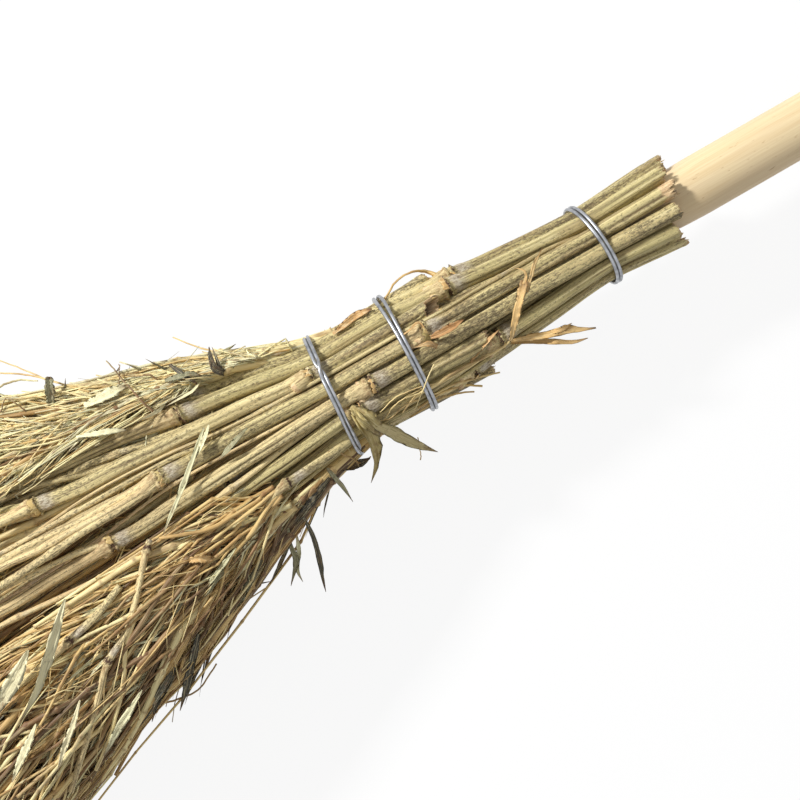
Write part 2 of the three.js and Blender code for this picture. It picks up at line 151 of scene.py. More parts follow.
# Closed tubes of any outline
class Surface:
    """Closed tubes gathered into one mesh, with values at each point for the finish."""

    def __init__(self):
        self.points, self.corners, self.sizes = [], [], []
        self.values = {}
        self.total = 0

    def add(self, rings, **values):
        """rings: tubes x stations x sides x 3. A value has one number for each tube, station or side."""
        count, stations, sides, _ = rings.shape
        index = np.arange(count * stations * sides).reshape(count, stations, sides) + self.total
        beside = np.roll(index, -1, axis=2)
        quads = np.stack([index[:, :-1], beside[:, :-1], beside[:, 1:], index[:, 1:]], axis=-1)
        quads = quads.reshape(-1, 4)
        caps = np.concatenate([index[:, 0, ::-1], index[:, -1]])
        self.points.append(rings.reshape(-1, 3))
        self.corners += [quads.ravel(), caps.ravel()]
        self.sizes += [np.full(len(quads), 4), np.full(len(caps), sides)]
        self.total += index.size
        for name, value in values.items():
            value = np.asarray(value, float)
            wide = (3,) if name == "grain" else ()
            if not wide:
                value = value.reshape(value.shape + (1,) * (3 - value.ndim))
            full = np.broadcast_to(value, (count, stations, sides) + wide)
            self.values.setdefault(name, []).append(full.reshape((-1,) + wide))

    def build(self, name, material, body, slot, replaced=()):
        """Makes the piece, which rides on a body and stands in for the replaced CAD nodes."""
        mesh = bpy.data.meshes.new(name)
        points = to_world(np.concatenate(self.points)).astype(np.float32)
        corners = np.concatenate(self.corners).astype(np.int32)
        sizes = np.concatenate(self.sizes).astype(np.int32)
        starts = np.concatenate([[0], np.cumsum(sizes)[:-1]]).astype(np.int32)
        mesh.vertices.add(len(points))
        mesh.vertices.foreach_set("co", points.ravel())
        mesh.loops.add(len(corners))
        mesh.loops.foreach_set("vertex_index", corners)
        mesh.polygons.add(len(sizes))
        mesh.polygons.foreach_set("loop_start", starts)
        mesh.polygons.foreach_set("use_smooth", np.ones(len(sizes), bool))
        mesh.update(calc_edges=True)
        for key, parts in self.values.items():
            kind, field = ("FLOAT_VECTOR", "vector") if key == "grain" else ("FLOAT", "value")
            flat = np.concatenate(parts).astype(np.float32).ravel()
            mesh.attributes.new(key, kind, "POINT").data.foreach_set(field, flat)
        mesh.materials.append(material)
        piece = bpy.data.objects.new(name, mesh)
        bpy.context.scene.collection.objects.link(piece)
        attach(piece, body)
        if replaced:
            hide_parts(*replaced)


def unit(vectors):
    return vectors / np.maximum(np.linalg.norm(vectors, axis=-1, keepdims=True), 1e-9)


def square_to(direction, vectors):
    """The vectors turned square to a direction."""
    return unit(vectors - (vectors * direction).sum(-1, keepdims=True) * direction)


def circle(sides):
    """Equal angles round a tube."""
    return 2 * np.pi * np.arange(sides) / sides


def path_frames(paths):
    """Two directions square to each path."""
    along = unit(np.gradient(paths, axis=1))
    lead = unit(paths[:, -1] - paths[:, 0])
    steep = np.abs(lead[:, 2:3]) > 0.75
    reference = np.where(steep, np.array([[0.0, 1.0, 0.0]]), np.array([[0.0, 0.0, 1.0]]))[:, None]
    normal = square_to(along, reference)
    return normal, np.cross(along, normal)


def summed(steps, axis=-1):
    """The sum of the steps before each place, which is zero at the first one."""
    start = np.zeros_like(np.take(steps, [0], axis=axis))
    return np.concatenate([start, np.cumsum(steps, axis=axis)], axis=axis)


def travelled(paths):
    """How far along its path each point is."""
    return summed(np.linalg.norm(np.diff(paths, axis=-2), axis=-1))


def rings_round(paths, normal, across, high, wide):
    """Rings round paths, and their grain: the way along, and two across."""
    raised = high[..., None] * normal[..., None, :]
    rings = paths[..., None, :] + raised + wide[..., None] * across[..., None, :]
    along = np.broadcast_to(travelled(paths)[..., None], high.shape)
    return rings, np.stack([along, high, wide], axis=-1) * MM


def tubes(paths, radii, sides):
    """Rings of round tubes, and their grain. The radii may differ from side to side."""
    radii = radii[..., None] if radii.ndim == 2 else radii
    normal, across = path_frames(paths)
    angles = circle(sides)
    return rings_round(paths, normal, across, radii * np.cos(angles), radii * np.sin(angles))


def upright_rings(places, y, z, size, turn):
    """Rings square to the broom's axis, at a reach each, round a middle at y and z."""
    rings = np.zeros(size.shape + (3,))
    rings[..., 0] = -places[:, None]
    rings[..., 1] = y[:, None] + size * np.cos(turn)
    rings[..., 2] = z[:, None] + size * np.sin(turn)
    return rings


def apart(rng, count):
    """Far-off places in the grain, so that no two pieces share a pattern."""
    return rng.uniform(-5, 5, (count, 1, 1, 3))


def smooth_noise(rng, places, size):
    """A gentle random curve, about one high, that turns over each size along places."""
    total = np.zeros_like(places, dtype=float)
    for octave in (1.0, 2.3, 4.1):
        total += np.sin(places * 2 * np.pi * octave / size + rng.uniform(0, 2 * np.pi)) / octave
    return total / 1.6


def smoothstep(low, high, value):
    share = np.clip((value - low) / (high - low), 0, 1)
    return share * share * (3 - 2 * share)


def bump(value, middle, width):
    return np.exp(-(((value - middle) / width) ** 2))


# Finishes
def paint(red, green, blue):
    """A screen colour of 0 to 255 as the linear colour that a shader takes."""
    shares = np.array([red, green, blue]) / 255
    linear = np.where(shares <= 0.04045, shares / 12.92, ((shares + 0.055) / 1.055) ** 2.4)
    return (*(float(share) for share in linear), 1.0)


def add_node(tree, kind, inputs, output=0, **settings):
    """Adds a node and gives its result. An input is a value, or another node's result."""
    made = tree.nodes.new(kind)
    for key, value in settings.items():
        setattr(made, key, value)
    for key, value in inputs.items():
        put(tree, made.inputs[key], value)
    return made.outputs[output]


def put(tree, socket, value):
    """Gives a socket its value, or links it to the node's result that the value is."""
    if isinstance(value, bpy.types.NodeSocket):
        tree.links.new(value, socket)
    else:
        socket.default_value = value


class Finish:
    """A material made of nodes. Each call adds a node and gives its result."""

    def __init__(self, name):
        self.material = bpy.data.materials.new(name)
        self.material.use_nodes = True
        self.tree = self.material.node_tree
        self.sockets = self.tree.nodes["Principled BSDF"].inputs
        self.grain = self.node("ShaderNodeAttribute", {}, "Vector", attribute_name="grain")

    def node(self, kind, inputs, output=0, **settings):
        return add_node(self.tree, kind, inputs, output, **settings)

    def value(self, name):
        return self.node("ShaderNodeAttribute", {}, "Fac", attribute_name=name)

    def noise(self, along, scale, detail, roughness, across=1.0):
        """Noise in the grain, drawn out along it where along is under one."""
        vector = self.grain
        if along != 1.0:
            inputs = {"Vector": vector, "Scale": (along, across, across)}
            vector = self.node("ShaderNodeMapping", inputs)
        inputs = {"Vector": vector, "Scale": scale, "Detail": detail, "Roughness": roughness}
        return self.node("ShaderNodeTexNoise", inputs, "Fac")

    def ramp(self, share, stops):
        """Each stop is a place and a level, or a place and a paint's red, green and blue."""
        made = self.tree.nodes.new("ShaderNodeValToRGB")
        elements = made.color_ramp.elements
        while len(elements) < len(stops):
            elements.new(0.5)
        for element, (place, *level) in zip(elements, stops):
            element.position = place
            element.color = paint(*level) if len(level) == 3 else (*(level * 3), 1.0)
        put(self.tree, made.inputs["Fac"], share)
        return made.outputs["Color"]

    def mix(self, share, first, second):
        return self.node("ShaderNodeMix", {0: share, 6: first, 7: second}, 2, data_type="RGBA")

    def stain(self, colour, over, share, *stops):
        """A colour, with another one over it where the ramp of a share is high."""
        return self.mix(self.ramp(share, stops), colour, over)

    def maths(self, operation, *values):
        return self.node("ShaderNodeMath", dict(enumerate(values)), operation=operation)

    def between(self, value, low, high, start=0.0, end=1.0):
        inputs = {"Value": value, "From Min": low, "From Max": high, "To Min": start, "To Max": end}
        return self.node("ShaderNodeMapRange", inputs, interpolation_type="SMOOTHSTEP")

    def finish(self, colour, roughness, height, depth, **levels):
        bumped = self.node("ShaderNodeBump", {"Height": height, "Distance": depth, "Strength": 1.0})
        levels.update({"Base Color": colour, "Roughness": roughness, "Normal": bumped})
        for key, level in levels.items():
            put(self.tree, self.sockets[key.replace("_", " ")], level)
        return self.material


# Each row: a place in the ramp of tones, and a screen colour
CANE_TONES = [
    (0.0, 170, 156, 108),
    (0.2, 196, 182, 126),
    (0.42, 216, 200, 142),
    (0.68, 244, 222, 166),
    (0.88, 240, 211, 156),
    (1.0, 220, 188, 144),
]
TWIG_TONES = [
    (0.0, 74, 56, 38),
    (0.12, 128, 100, 66),
    (0.26, 186, 150, 92),
    (0.42, 222, 191, 126),
    (0.58, 238, 217, 158),
    (0.74, 242, 230, 174),
    (0.88, 222, 214, 162),
    (1.0, 216, 213, 176),
]
LEAF_TONES = [
    (0.0, 48, 44, 40),
    (0.12, 84, 84, 74),
    (0.26, 158, 156, 120),
    (0.42, 228, 224, 182),
    (0.56, 242, 231, 188),
    (0.7, 184, 166, 108),
    (0.84, 222, 184, 122),
    (1.0, 176, 128, 82),
]
BLOOM_STOPS = [(0.0, 0.0), (0.22, 0.35), (0.55, 0.9), (0.82, 0.8), (0.95, 0.0)]
LINE_STOPS = [(0.0, 0.0), (0.3, 1.0), (0.62, 1.0), (1.0, 0.0)]
SCAR_STOPS = [(0.0, 0.0), (0.14, 0.9), (0.42, 0.55), (1.0, 0.0)]


def cane_finish():
    """Weathered bamboo: ridged and mottled skin, marks at the nodes, and bare wood where it is cut, with
    painted shade in its grooves and hollow bores and painted highlights on its ridges.
    """
    f = Finish("cane_bamboo")
    skin = f.ramp(f.value("tone"), CANE_TONES)
    ridges = f.noise(0.018, 1150.0, 4.0, 0.6)
    # Streaks along the ridge noise, which also drives the bump: partly the skin's own streaks, partly painted
    # shade in the fine grooves and a painted highlight on the ridge tops
    skin = f.stain(skin, paint(112, 90, 56), ridges, (0.32, 0.9), (0.44, 0.0))
    skin = f.stain(skin, paint(240, 226, 176), ridges, (0.54, 0.0), (0.66, 0.75))
    patches = f.noise(0.13, 170.0, 3.0, 0.6)
    skin = f.stain(skin, paint(158, 128, 90), patches, (0.48, 0.0), (0.68, 0.5))
    flakes = f.noise(0.45, 1150.0, 6.0, 0.78)
    spread = f.noise(0.1, 210.0, 3.0, 0.6)
    crowded = f.maths("MULTIPLY", f.value("mottle"), f.between(spread, 0.34, 0.6, 0.15, 1.0))
    mottling = f.maths("MULTIPLY_ADD", crowded, 0.17, flakes)
    skin = f.stain(skin, paint(112, 98, 70), mottling, (0.57, 0.0), (0.63, 0.75))
    skin = f.stain(skin, paint(74, 62, 44), mottling, (0.67, 0.0), (0.74, 0.8))
    # Painted shade: the skin turns dark brown deep in each groove
    skin = f.mix(f.maths("MULTIPLY", f.value("groove"), 0.85), skin, paint(82, 62, 38))

    # A node has pale bloom before it, a dark line at it, and a leaf's scar past it
    uneven = f.noise(0.35, 800.0, 4.0, 0.7)
    past = f.maths("MULTIPLY_ADD", uneven, 0.007, f.value("node_at"))
    bloom = f.stain(paint(208, 199, 178), paint(150, 132, 108), flakes, (0.42, 0.0), (0.58, 1.0))
    scar = f.stain(paint(232, 210, 158), paint(142, 104, 66), uneven, (0.38, 0.0), (0.62, 1.0))
    for low, high, stops, colour in (
        (-0.0075, 0.0045, BLOOM_STOPS, bloom),
        (0.0028, 0.0062, LINE_STOPS, paint(70, 42, 26)),
        (0.0045, 0.018, SCAR_STOPS, scar),
    ):
        mark = f.ramp(f.between(past, low, high), stops)
        skin = f.mix(f.maths("MULTIPLY", mark, f.value("near_node")), skin, colour)

    wood = f.stain(paint(238, 210, 164), paint(194, 158, 114), uneven, (0.4, 0.0), (0.62, 1.0))
    skin = f.stain(skin, wood, f.value("cut"), (0.3, 0.0), (0.6, 1.0))
    # Painted shade: dark brown in the hollow of a cut end, full at its bottom
    skin = f.mix(f.value("bore"), skin, paint(52, 34, 20))
    relief = f.maths("MULTIPLY_ADD", ridges, 0.8, mottling)
    return f.finish(skin, f.between(ridges, 0.3, 0.7, 0.5, 0.66), relief, 0.0006, Specular_IOR_Level=0.38)


def twig_finish():
    """Thin bamboo: streaked and patchy, and darker at its nodes."""
    f = Finish("twig_bamboo")
    skin = f.ramp(f.value("tone"), TWIG_TONES)
    streaks = f.noise(0.04, 1700.0, 3.0, 0.6)
    skin = f.stain(skin, paint(236, 216, 160), streaks, (0.5, 0.0), (0.7, 0.6))
    skin = f.stain(skin, paint(120, 88, 54), streaks, (0.3, 0.8), (0.45, 0.0))
    patches = f.noise(0.4, 130.0, 4.0, 0.65)
    skin = f.stain(skin, paint(134, 98, 64), patches, (0.5, 0.0), (0.66, 0.65))
    skin = f.mix(f.maths("MULTIPLY", f.value("node"), 0.55), skin, paint(126, 88, 54))
    return f.finish(skin, 0.58, streaks, 0.00015, Specular_IOR_Level=0.38)


def leaf_finish():
    """Dry bamboo leaves: veined and blotched, with a pale middle line and brown tips."""
    f = Finish("dry_leaf")
    blade = f.ramp(f.value("tone"), LEAF_TONES)
    veins = f.noise(0.015, 2400.0, 2.0, 0.5)
    blade = f.stain(blade, paint(232, 220, 178), veins, (0.52, 0.0), (0.7, 0.6))
    blade = f.stain(blade, paint(112, 94, 60), veins, (0.3, 0.45), (0.46, 0.0))
    blotches = f.noise(1.0, 190.0, 4.0, 0.65)
    blade = f.stain(blade, paint(116, 84, 50), blotches, (0.54, 0.0), (0.7, 0.65))
    blade = f.stain(blade, paint(228, 208, 156), f.value("side"), (0.0, 0.3), (0.12, 0.0))
    blade = f.stain(blade, paint(108, 74, 46), f.value("along"), (0.8, 0.0), (1.0, 0.8))
    return f.finish(blade, 0.6, veins, 0.00025, Specular_IOR_Level=0.32)


def handle_finish():
    """Plain-sawn wood: growth rings round a heart beside the pole, seen on its surface."""
    f = Finish("handle_wood")

    def squared(axis, heart):
        across = f.node("ShaderNodeSeparateXYZ", {0: f.grain}, axis)
        return f.maths("POWER", f.maths("ADD", across, heart), 2.0)

    wander = f.noise(0.5, 6.0, 3.0, 0.5, across=6.0)
    from_heart = f.maths("SQRT", f.maths("ADD", squared(2, 0.021), squared(1, -0.006)))
    distance = f.maths("ADD", from_heart, f.maths("MULTIPLY", wander, 0.012))
    rings = f.maths("SINE", f.maths("MULTIPLY", distance, 3100.0))
    wood = f.mix(f.between(rings, -1.0, 1.0, 0.0, 0.45), paint(230, 210, 168), paint(219, 193, 147))
    fibres = f.noise(0.02, 1500.0, 3.0, 0.6)
    wood = f.stain(wood, paint(206, 176, 130), fibres, (0.38, 0.0), (0.7, 0.45))
    patches = f.noise(0.25, 45.0, 3.0, 0.5)
    wood = f.stain(wood, paint(208, 184, 156), patches, (0.42, 0.0), (0.75, 0.5))
    specks = f.noise(0.25, 800.0, 2.0, 0.4)
    wood = f.stain(wood, paint(168, 128, 84), specks, (0.68, 0.0), (0.78, 0.6))
    wood = f.mix(f.maths("MULTIPLY", f.value("cut"), 0.45), wood, paint(176, 138, 92))
    return f.finish(wood, f.between(fibres, 0.3, 0.7, 0.44, 0.58), fibres, 0.00006, Specular_IOR_Level=0.38)


def wire_finish():
    """Galvanised wire, clouded and drawn along its length."""
    f = Finish("binding_wire")
    drawn = f.noise(0.03, 4000.0, 3.0, 0.6)
    clouds = f.noise(1.0, 260.0, 3.0, 0.6)
    metal = f.stain(paint(178, 180, 184), paint(122, 124, 128), clouds, (0.35, 0.0), (0.7, 1.0))
    metal = f.stain(metal, paint(196, 200, 206), drawn, (0.45, 0.0), (0.7, 0.4))
    return f.finish(metal, f.between(clouds, 0.3, 0.7, 0.3, 0.46), drawn, 0.00004, Metallic=1.0)


CANE = cane_finish()
TWIG = twig_finish()
LEAF = leaf_finish()
WOOD = handle_finish()
STEEL = wire_finish()


# Handle
HANDLE_RADIUS = 14.0
NECK_RADIUS = 11.17
SHOULDER_X = 50.0
POINT_X = -160.0
TIP_X = -166.0
POINT_RADIUS = 2.5
END_ROUNDING = 2.5
HANDLE_SIDES = 72
# Places along the pole, and its radius there
HANDLE_PROFILE = (
    [TIP_X, POINT_X, 0, SHOULDER_X - 6, SHOULDER_X + 6, HANDLE_END_X],
    [0.3, POINT_RADIUS, NECK_RADIUS, 13.6, HANDLE_RADIUS, HANDLE_RADIUS],
)


def build_handle():
    """The pole, with a tapered point at one end and a rounded edge at the other."""
    rng = np.random.default_rng(11)
    point = [TIP_X, -163.5, POINT_X, *np.arange(-150, 40, 10)]
    straight = [*point, 44, 48, 52, 56, *np.arange(64, 936, 16)]
    places = np.array([*straight, HANDLE_END_X - END_ROUNDING])
    radii = np.interp(places, *HANDLE_PROFILE)
    rounding = np.linspace(0, np.pi / 2, 7)[1:]
    places = np.append(places, HANDLE_END_X - END_ROUNDING + END_ROUNDING * np.sin(rounding))
    radii = np.append(radii, HANDLE_RADIUS - END_ROUNDING * (1 - np.cos(rounding)))
    places, radii = np.append(places, HANDLE_END_X), np.append(radii, 5.0)
    turn = circle(HANDLE_SIDES)[None]
    shape = 1 + 0.004 * np.cos(2 * turn + 0.4 + places[:, None] / 300)
    shape = shape + 0.003 * smooth_noise(rng, places[:, None], 170) * np.cos(turn * 3)
    size = np.minimum(radii[:, None] * shape, HANDLE_RADIUS)
    middle = np.zeros(len(places))
    rings = upright_rings(-places, middle, middle, size, turn)[None]
    end = (places > HANDLE_END_X - 0.05).astype(float)
    surface = Surface()
    surface.add(rings, grain=rings * MM, cut=end[None])
    surface.build("handle_pole", WOOD, "handle", "handle_wood", ["handle"])


build_handle()


# Canes
CANE_SIDES = 40
CANE_STEP = 7.0
BORE_DEPTH = 9.0
USUAL_RADIUS = 3.8
PUSHED_BACK = 5


def cane_stations(node):
    """The reach, y, z and radius of each station of a cane's solid, read from the frame."""
    solid = frame["nodes"][node]
    world = np.array([vertex.co for vertex in solid.data.vertices])
    laid = to_laid(world)
    laid = laid[np.argsort(-laid[:, 0])]
    splits = np.where(np.diff(laid[:, 0]) < -0.15)[0] + 1
    found = []
    for group in np.split(laid, splits):
        low, high = group.min(0), group.max(0)
        middle = (low + high) / 2
        found.append((-middle[0], middle[1], middle[2], (high[1] - low[1]) / 2))
    return np.array(found)


def cane_route(node):
    """A function from reach to the cane's middle and bare radius, with its ends and its nodes."""
    table = cane_stations(node)
    reach, radius = table[:, 0], table[:, 3]
    swollen = np.zeros(len(reach), bool)
    inner = slice(1, -1)
    swollen[inner] = (radius[inner] > radius[:-2] + 0.15) & (radius[inner] > radius[2:] + 0.15)
    bare = table[~swollen]

    def at(places):
        kernel = np.arange(-3, 4) * 4.0
        weights = bump(kernel, 0, 7.0)
        weights /= weights.sum()
        spread = np.clip(places[:, None] + kernel, reach[0], reach[-1])
        y = (np.interp(spread, reach, table[:, 1]) * weights).sum(1)
        z = (np.interp(spread, reach, table[:, 2]) * weights).sum(1)
        return y, z, np.interp(places, bare[:, 0], bare[:, 3])

    return at, reach[0], reach[-1], reach[swollen]


NODE_STEPS = np.array([-13, -9, -6, -4, -2.6, -1.6, -0.9, -0.3, 0.3, 0.9, 1.6, 2.4, 3.4, 4.6, 6.2, 8.5, 12])
INTERNODE = 132.0
WALL_SHARE = 0.68
# Across the bundle at each y, how much longer the stub's canes are
STUB_SLANT = ([-20, 0, 20], [-3.5, 0, 5.5])
FLAT_SIDES = 6
# At each reach, from a round stem at 0 to flat sides at 1
FLATNESS = ([-43, 10, 60, 140], [0.8, 0.7, 0.4, 0.25])
# At each reach, how much of its room a cane fills
FULLNESS = ([-43, -14, 0, 60, 110], [1.27, 1.2, 1.13, 1.1, 1.05])
GROOVES = (6, 10)
RIPPLES = ((2, 0.07), (3, 0.04), (5, 0.025))  # waves round a stem, and their height


def uneven_round(rng, places, turn, internode, past):
    """How a dried stem differs from a round one: its size all round, and how deep in a groove."""
    shape = np.ones((len(places), turn.shape[1]))
    groove = np.zeros_like(shape)
    away_from_node = 1 - bump(past, 1.5, 5.0)[:, None]
    count = rng.integers(*GROOVES)
    for index in range(count):
        slot = 2 * np.pi * (index + rng.uniform(-0.3, 0.3)) / count
        middle = slot + np.pi * internode + smooth_noise(rng, places, 260) * 0.18
        away = np.angle(np.exp(1j * (turn - middle[:, None])))
        lengthwise = 0.6 + 0.4 * smooth_noise(rng, places, 90)[:, None]
        cut_in = bump(away, 0, rng.uniform(0.1, 0.19)) * lengthwise * away_from_node
        depth = rng.uniform(0.05, 0.3)
        shape -= depth * cut_in
        groove = np.maximum(groove, cut_in * min(1, depth / 0.2))
    for waves, height in RIPPLES:
        height = height * rng.uniform(0.4, 1)
        shape += height * np.cos(waves * turn + rng.uniform(0, 6) + places[:, None] / 140)
    shape *= 1 + 0.04 * smooth_noise(rng, places, 70)[:, None]
    return shape, np.clip(groove, 0, 1)


def flat_sides(places, turn, first):
    """How much nearer the middle a stem's flat sides are than its edges; the cut ends show it most."""
    slot = 2 * np.pi / FLAT_SIDES
    across = np.mod(turn - first - 0.15 * np.sin(places[:, None] / 90), slot) - slot / 2
    polygon = np.cos(slot / 2) / np.cos(across)
    return 1 - np.interp(places, *FLATNESS)[:, None] * (1 - polygon)


def slant_at(start, y):
    """How much further towards the handle's end a cane is cut."""
    return float(np.interp(y, *STUB_SLANT)) if start < 0 else 0.0


def past_nearest(places, marks):
    """How far past the nearest mark each place is."""
    return places - marks[np.argmin(np.abs(places[:, None] - marks), axis=1)]


def rim(ring, middle, inset, x):
    """A ring of a cut end: another one drawn in towards the stem's middle, at x."""
    drawn = middle + (ring - middle) * inset
    drawn[:, 0] = x
    return drawn


def ended(lead, at_end, value):
    """Values along a stem, after those of the rings that lead it at its cut end."""
    first = np.broadcast_to(at_end, (lead,) + value.shape[1:])
    return np.concatenate([first, value])[None]


def stem_grain(rings, size, turn):
    """The grain of upright rings: the way along, and two across."""
    return np.stack([-rings[..., 0], size * np.cos(turn), size * np.sin(turn)], axis=-1)[None] * MM


def cane_size(rng, places, radius, past, internode, turn):
    """A cane's radius all round at each station, and how deep it lies in a groove."""
    shape, groove = uneven_round(rng, places, turn, internode, past)
    shape = shape * flat_sides(places, turn, radius[0] * 7)
    rough = 0.75 + 0.4 * smooth_noise(rng, turn[0] * 60, 120)[None] + rng.uniform(-0.3, 0.3, shape.shape)
    lump = 0.8 + 0.6 * np.cos(turn - rng.uniform(0, 6) - np.pi * internode[:, None])
    column = past[:, None]
    swelling = 1.7 * bump(column, 0.1, 0.8) * rough - 0.7 * bump(column, 1.6, 0.5)
    swelling += 1.5 * bump(column, 3.0, 1.1) * (0.4 + 0.6 * lump) * rough
    swelling += 0.9 * bump(column, 6.0, 3.0) * lump * rough + 0.45 * bump(column, -3.0, 2.6)
    narrowing = 1 - 0.09 * smoothstep(6, 14, column) * (np.abs(column) < INTERNODE / 2)
    size = radius[:, None] * shape * narrowing + swelling * (radius[:, None] / USUAL_RADIUS)
    return size * np.interp(places, *FULLNESS)[:, None], groove


def cut_end(rng, ring, middle, start, split):
    """The rings of a hollow, ragged cut end, and where its rim is."""
    angles = circle(CANE_SIDES)
    ragged = rng.uniform(0, 1.8, CANE_SIDES) + 1.2 * np.cos(angles - rng.uniform(0, 6))
    ragged += 2.0 * (rng.uniform(0, 1, CANE_SIDES) > 0.82)
    if split:
        ragged = ragged + 6.5 * smoothstep(0.15, 0.4, np.cos(angles - split))
    tip_x = -start - (ragged - ragged.min()) + slant_at(start, middle[1])
    rims = [
        (WALL_SHARE - 0.16, -start - BORE_DEPTH),
        (WALL_SHARE - 0.05, tip_x - 1.2),
        (WALL_SHARE, tip_x),
        (0.95, tip_x + rng.uniform(-0.2, 0.2, CANE_SIDES)),
        (1.0, tip_x - 0.5),
    ]
    return [rim(ring, middle, inset, x) for inset, x in rims], tip_x


def cane_rings(rng, node, surface, split, peeled):
    """One cane with grooves, scars at its nodes and a hollow, ragged cut end."""
    at, start, end, scars = cane_route(node)
    near_scars = (scars[:, None] + NODE_STEPS).ravel()
    near_end = start + np.array([1.2, 3, 6, 10])
    places = np.concatenate([near_end, np.arange(start + 16, end, CANE_STEP), near_scars])
    places = np.unique(places[(places > start + 1) & (places < end - 1)].round(1))
    places = np.append(places, end)
    y, z, radius = at(places)
    past = past_nearest(places, scars)
    internode = np.searchsorted(scars, places)
    turn = circle(CANE_SIDES)[None]
    size, groove = cane_size(rng, places, radius, past, internode, turn)
    wander = 0.35 * np.clip((places - start) / 60, 0, 1) + 1.1 * smoothstep(170, 320, places)
    y = y + wander * smooth_noise(rng, places, 130) + 0.25 * bump(past, 3, 8)
    z = z + wander * smooth_noise(rng, places, 150)
    rings = upright_rings(places, y, z, size, turn)

    lead_rings, tip_x = cut_end(rng, rings[0], np.array([0, y[0], z[0]]), start, split)
    lead = len(lead_rings)
    # The ragged rim pushes back the stations that it passes
    pushed = tip_x - 1.0 - 0.8 * np.arange(PUSHED_BACK)[:, None]
    rings[:PUSHED_BACK, :, 0] = np.minimum(rings[:PUSHED_BACK, :, 0], pushed)
    rings = np.concatenate([lead_rings, rings])
    size = ended(lead, size[0], size)[0]
    bare = 1 - smoothstep(peeled - 1, peeled + 1, places[:, None] - start + 1.5 * np.cos(3 * turn))
    open_end = np.array([1, 1, 1, 1, 1 if peeled else 0.2])[:, None]
    since = np.mod(past + INTERNODE, INTERNODE) / INTERNODE
    golden = 0.28 * (1 - since) * (internode > 0) + 0.35 * smoothstep(120, 420, places)
    tone = np.clip(rng.normal(0.3, 0.16) + golden + rng.uniform(-0.08, 0.08, 12)[internode], 0, 1)
    mottle = rng.uniform(0.25, 1.35) * (0.25 + 0.75 * since) * np.interp(places, [60, 220], [1.2, 0.5])
    mottle = np.clip(mottle, 0, 1)
    surface.add(
        rings[None],
        grain=stem_grain(rings, size, turn) + apart(rng, 1),
        tone=ended(lead, tone[0], tone),
        mottle=ended(lead, mottle[0], mottle),
        groove=ended(lead, 0.0, groove),
        node_at=ended(lead, past[0], past) * MM,
        near_node=ended(lead, 0.0, 1 - smoothstep(15, 20, np.abs(past))),
        cut=ended(lead, open_end, bool(peeled) * bare),
        # Painted shade in the hollow: full at the bottom ring, faint at the next
        bore=ended(lead, [1.0, 0.15, 0, 0, 0], np.zeros(len(places))),
    )
    return at, scars, start, end


CANE_NAMES = [name for name in sorted(frame["nodes"]) if "_cane_" in name]
SPLIT_CANES = {"short_cane_01": 1.7}  # the angle at which a cut end is split
PEELED_CANES = {"long_cane_03": 7.5}  # how far from its cut end a cane has no skin
CANE_SEED = 400


def build_canes():
    """Every cane as a piece of its own. The result has each one's route, scars, start and end."""
    facts = {}
    for number, name in enumerate(CANE_NAMES):
        rng = np.random.default_rng(CANE_SEED + number)
        surface = Surface()
        facts[name] = cane_rings(rng, name, surface, SPLIT_CANES.get(name), PEELED_CANES.get(name, 0))
        surface.build("fine_" + name, CANE, "head", "cane_bamboo", [name])
    return facts


cane_facts = build_canes()


def cane_spot(name, reach):
    """A cane's middle and radius at one reach."""
    return (float(value[0]) for value in cane_facts[name][0](np.array([reach])))


# Thin stems between the canes
STEM_SIDES = 12
STEM_STEP = 7.0
STEM_ROOM = 0.25
STEM_NODE_STEPS = np.array([-6, -2, -0.6, 0.2, 1.2, 3, 6])
PACKING_STEPS = 22
# How many, from which angle to which in degrees, between which depths, radii and starts
STEM_KINDS = [
    (9, (0, 360), (0.88, 0.93), (0.8, 1.1), (-34, -10)),
    (24, (0, 360), (0.45, 0.82), (1.3, 2.5), (6, 62)),
    (12, (-15, 195), (0.9, 0.96), (1.5, 2.4), (120, 215)),
    (10, (195, 345), (0.85, 1.0), (1.2, 2.2), (100, 150)),
]


def stem_homes(rng):
    """The angle, depth, radius and start of each thin stem."""
    rows = []
    for count, turn, depth, radius, start in STEM_KINDS:
        slots = (np.arange(count) + rng.uniform(0.1, 0.9, count)) / count
        angle = np.radians(turn[0] + (turn[1] - turn[0]) * slots)
        rows.append([angle, *(rng.uniform(*span, count) for span in (depth, radius, start))])
    return np.concatenate(rows, axis=1)


def handle_room(reach):
    """The radius that the handle takes up inside the bundle."""
    radii = np.interp(reach, [-SHOULDER_X, 0, -POINT_X, -TIP_X], [13.9, NECK_RADIUS, POINT_RADIUS, 0])
    return float(radii) + 0.5


def pushed_apart(places, sizes, others, other_sizes):
    """The move that takes each circle half or all of the way out of the others."""
    offset = places[:, None] - others[None]
    distance = np.maximum(np.linalg.norm(offset, axis=-1), 0.01)
    overlap = np.clip(sizes[:, None] + other_sizes[None] + STEM_ROOM - distance, 0, None)
    overlap[distance < 0.02] = 0
    return (overlap / distance)[..., None] * offset


def solids_at(reach):
    """The handle and the canes that cross a section: y, z and radius of each."""
    found = [(0.0, 0.0, handle_room(reach))] if reach < -POINT_X else []
    for name, (_, _, start, end) in cane_facts.items():
        if start - 3 <= reach <= end:
            y, z, radius = cane_spot(name, reach)
            found.append((y, z, radius * 1.06))
    return np.array(found).reshape(-1, 3)


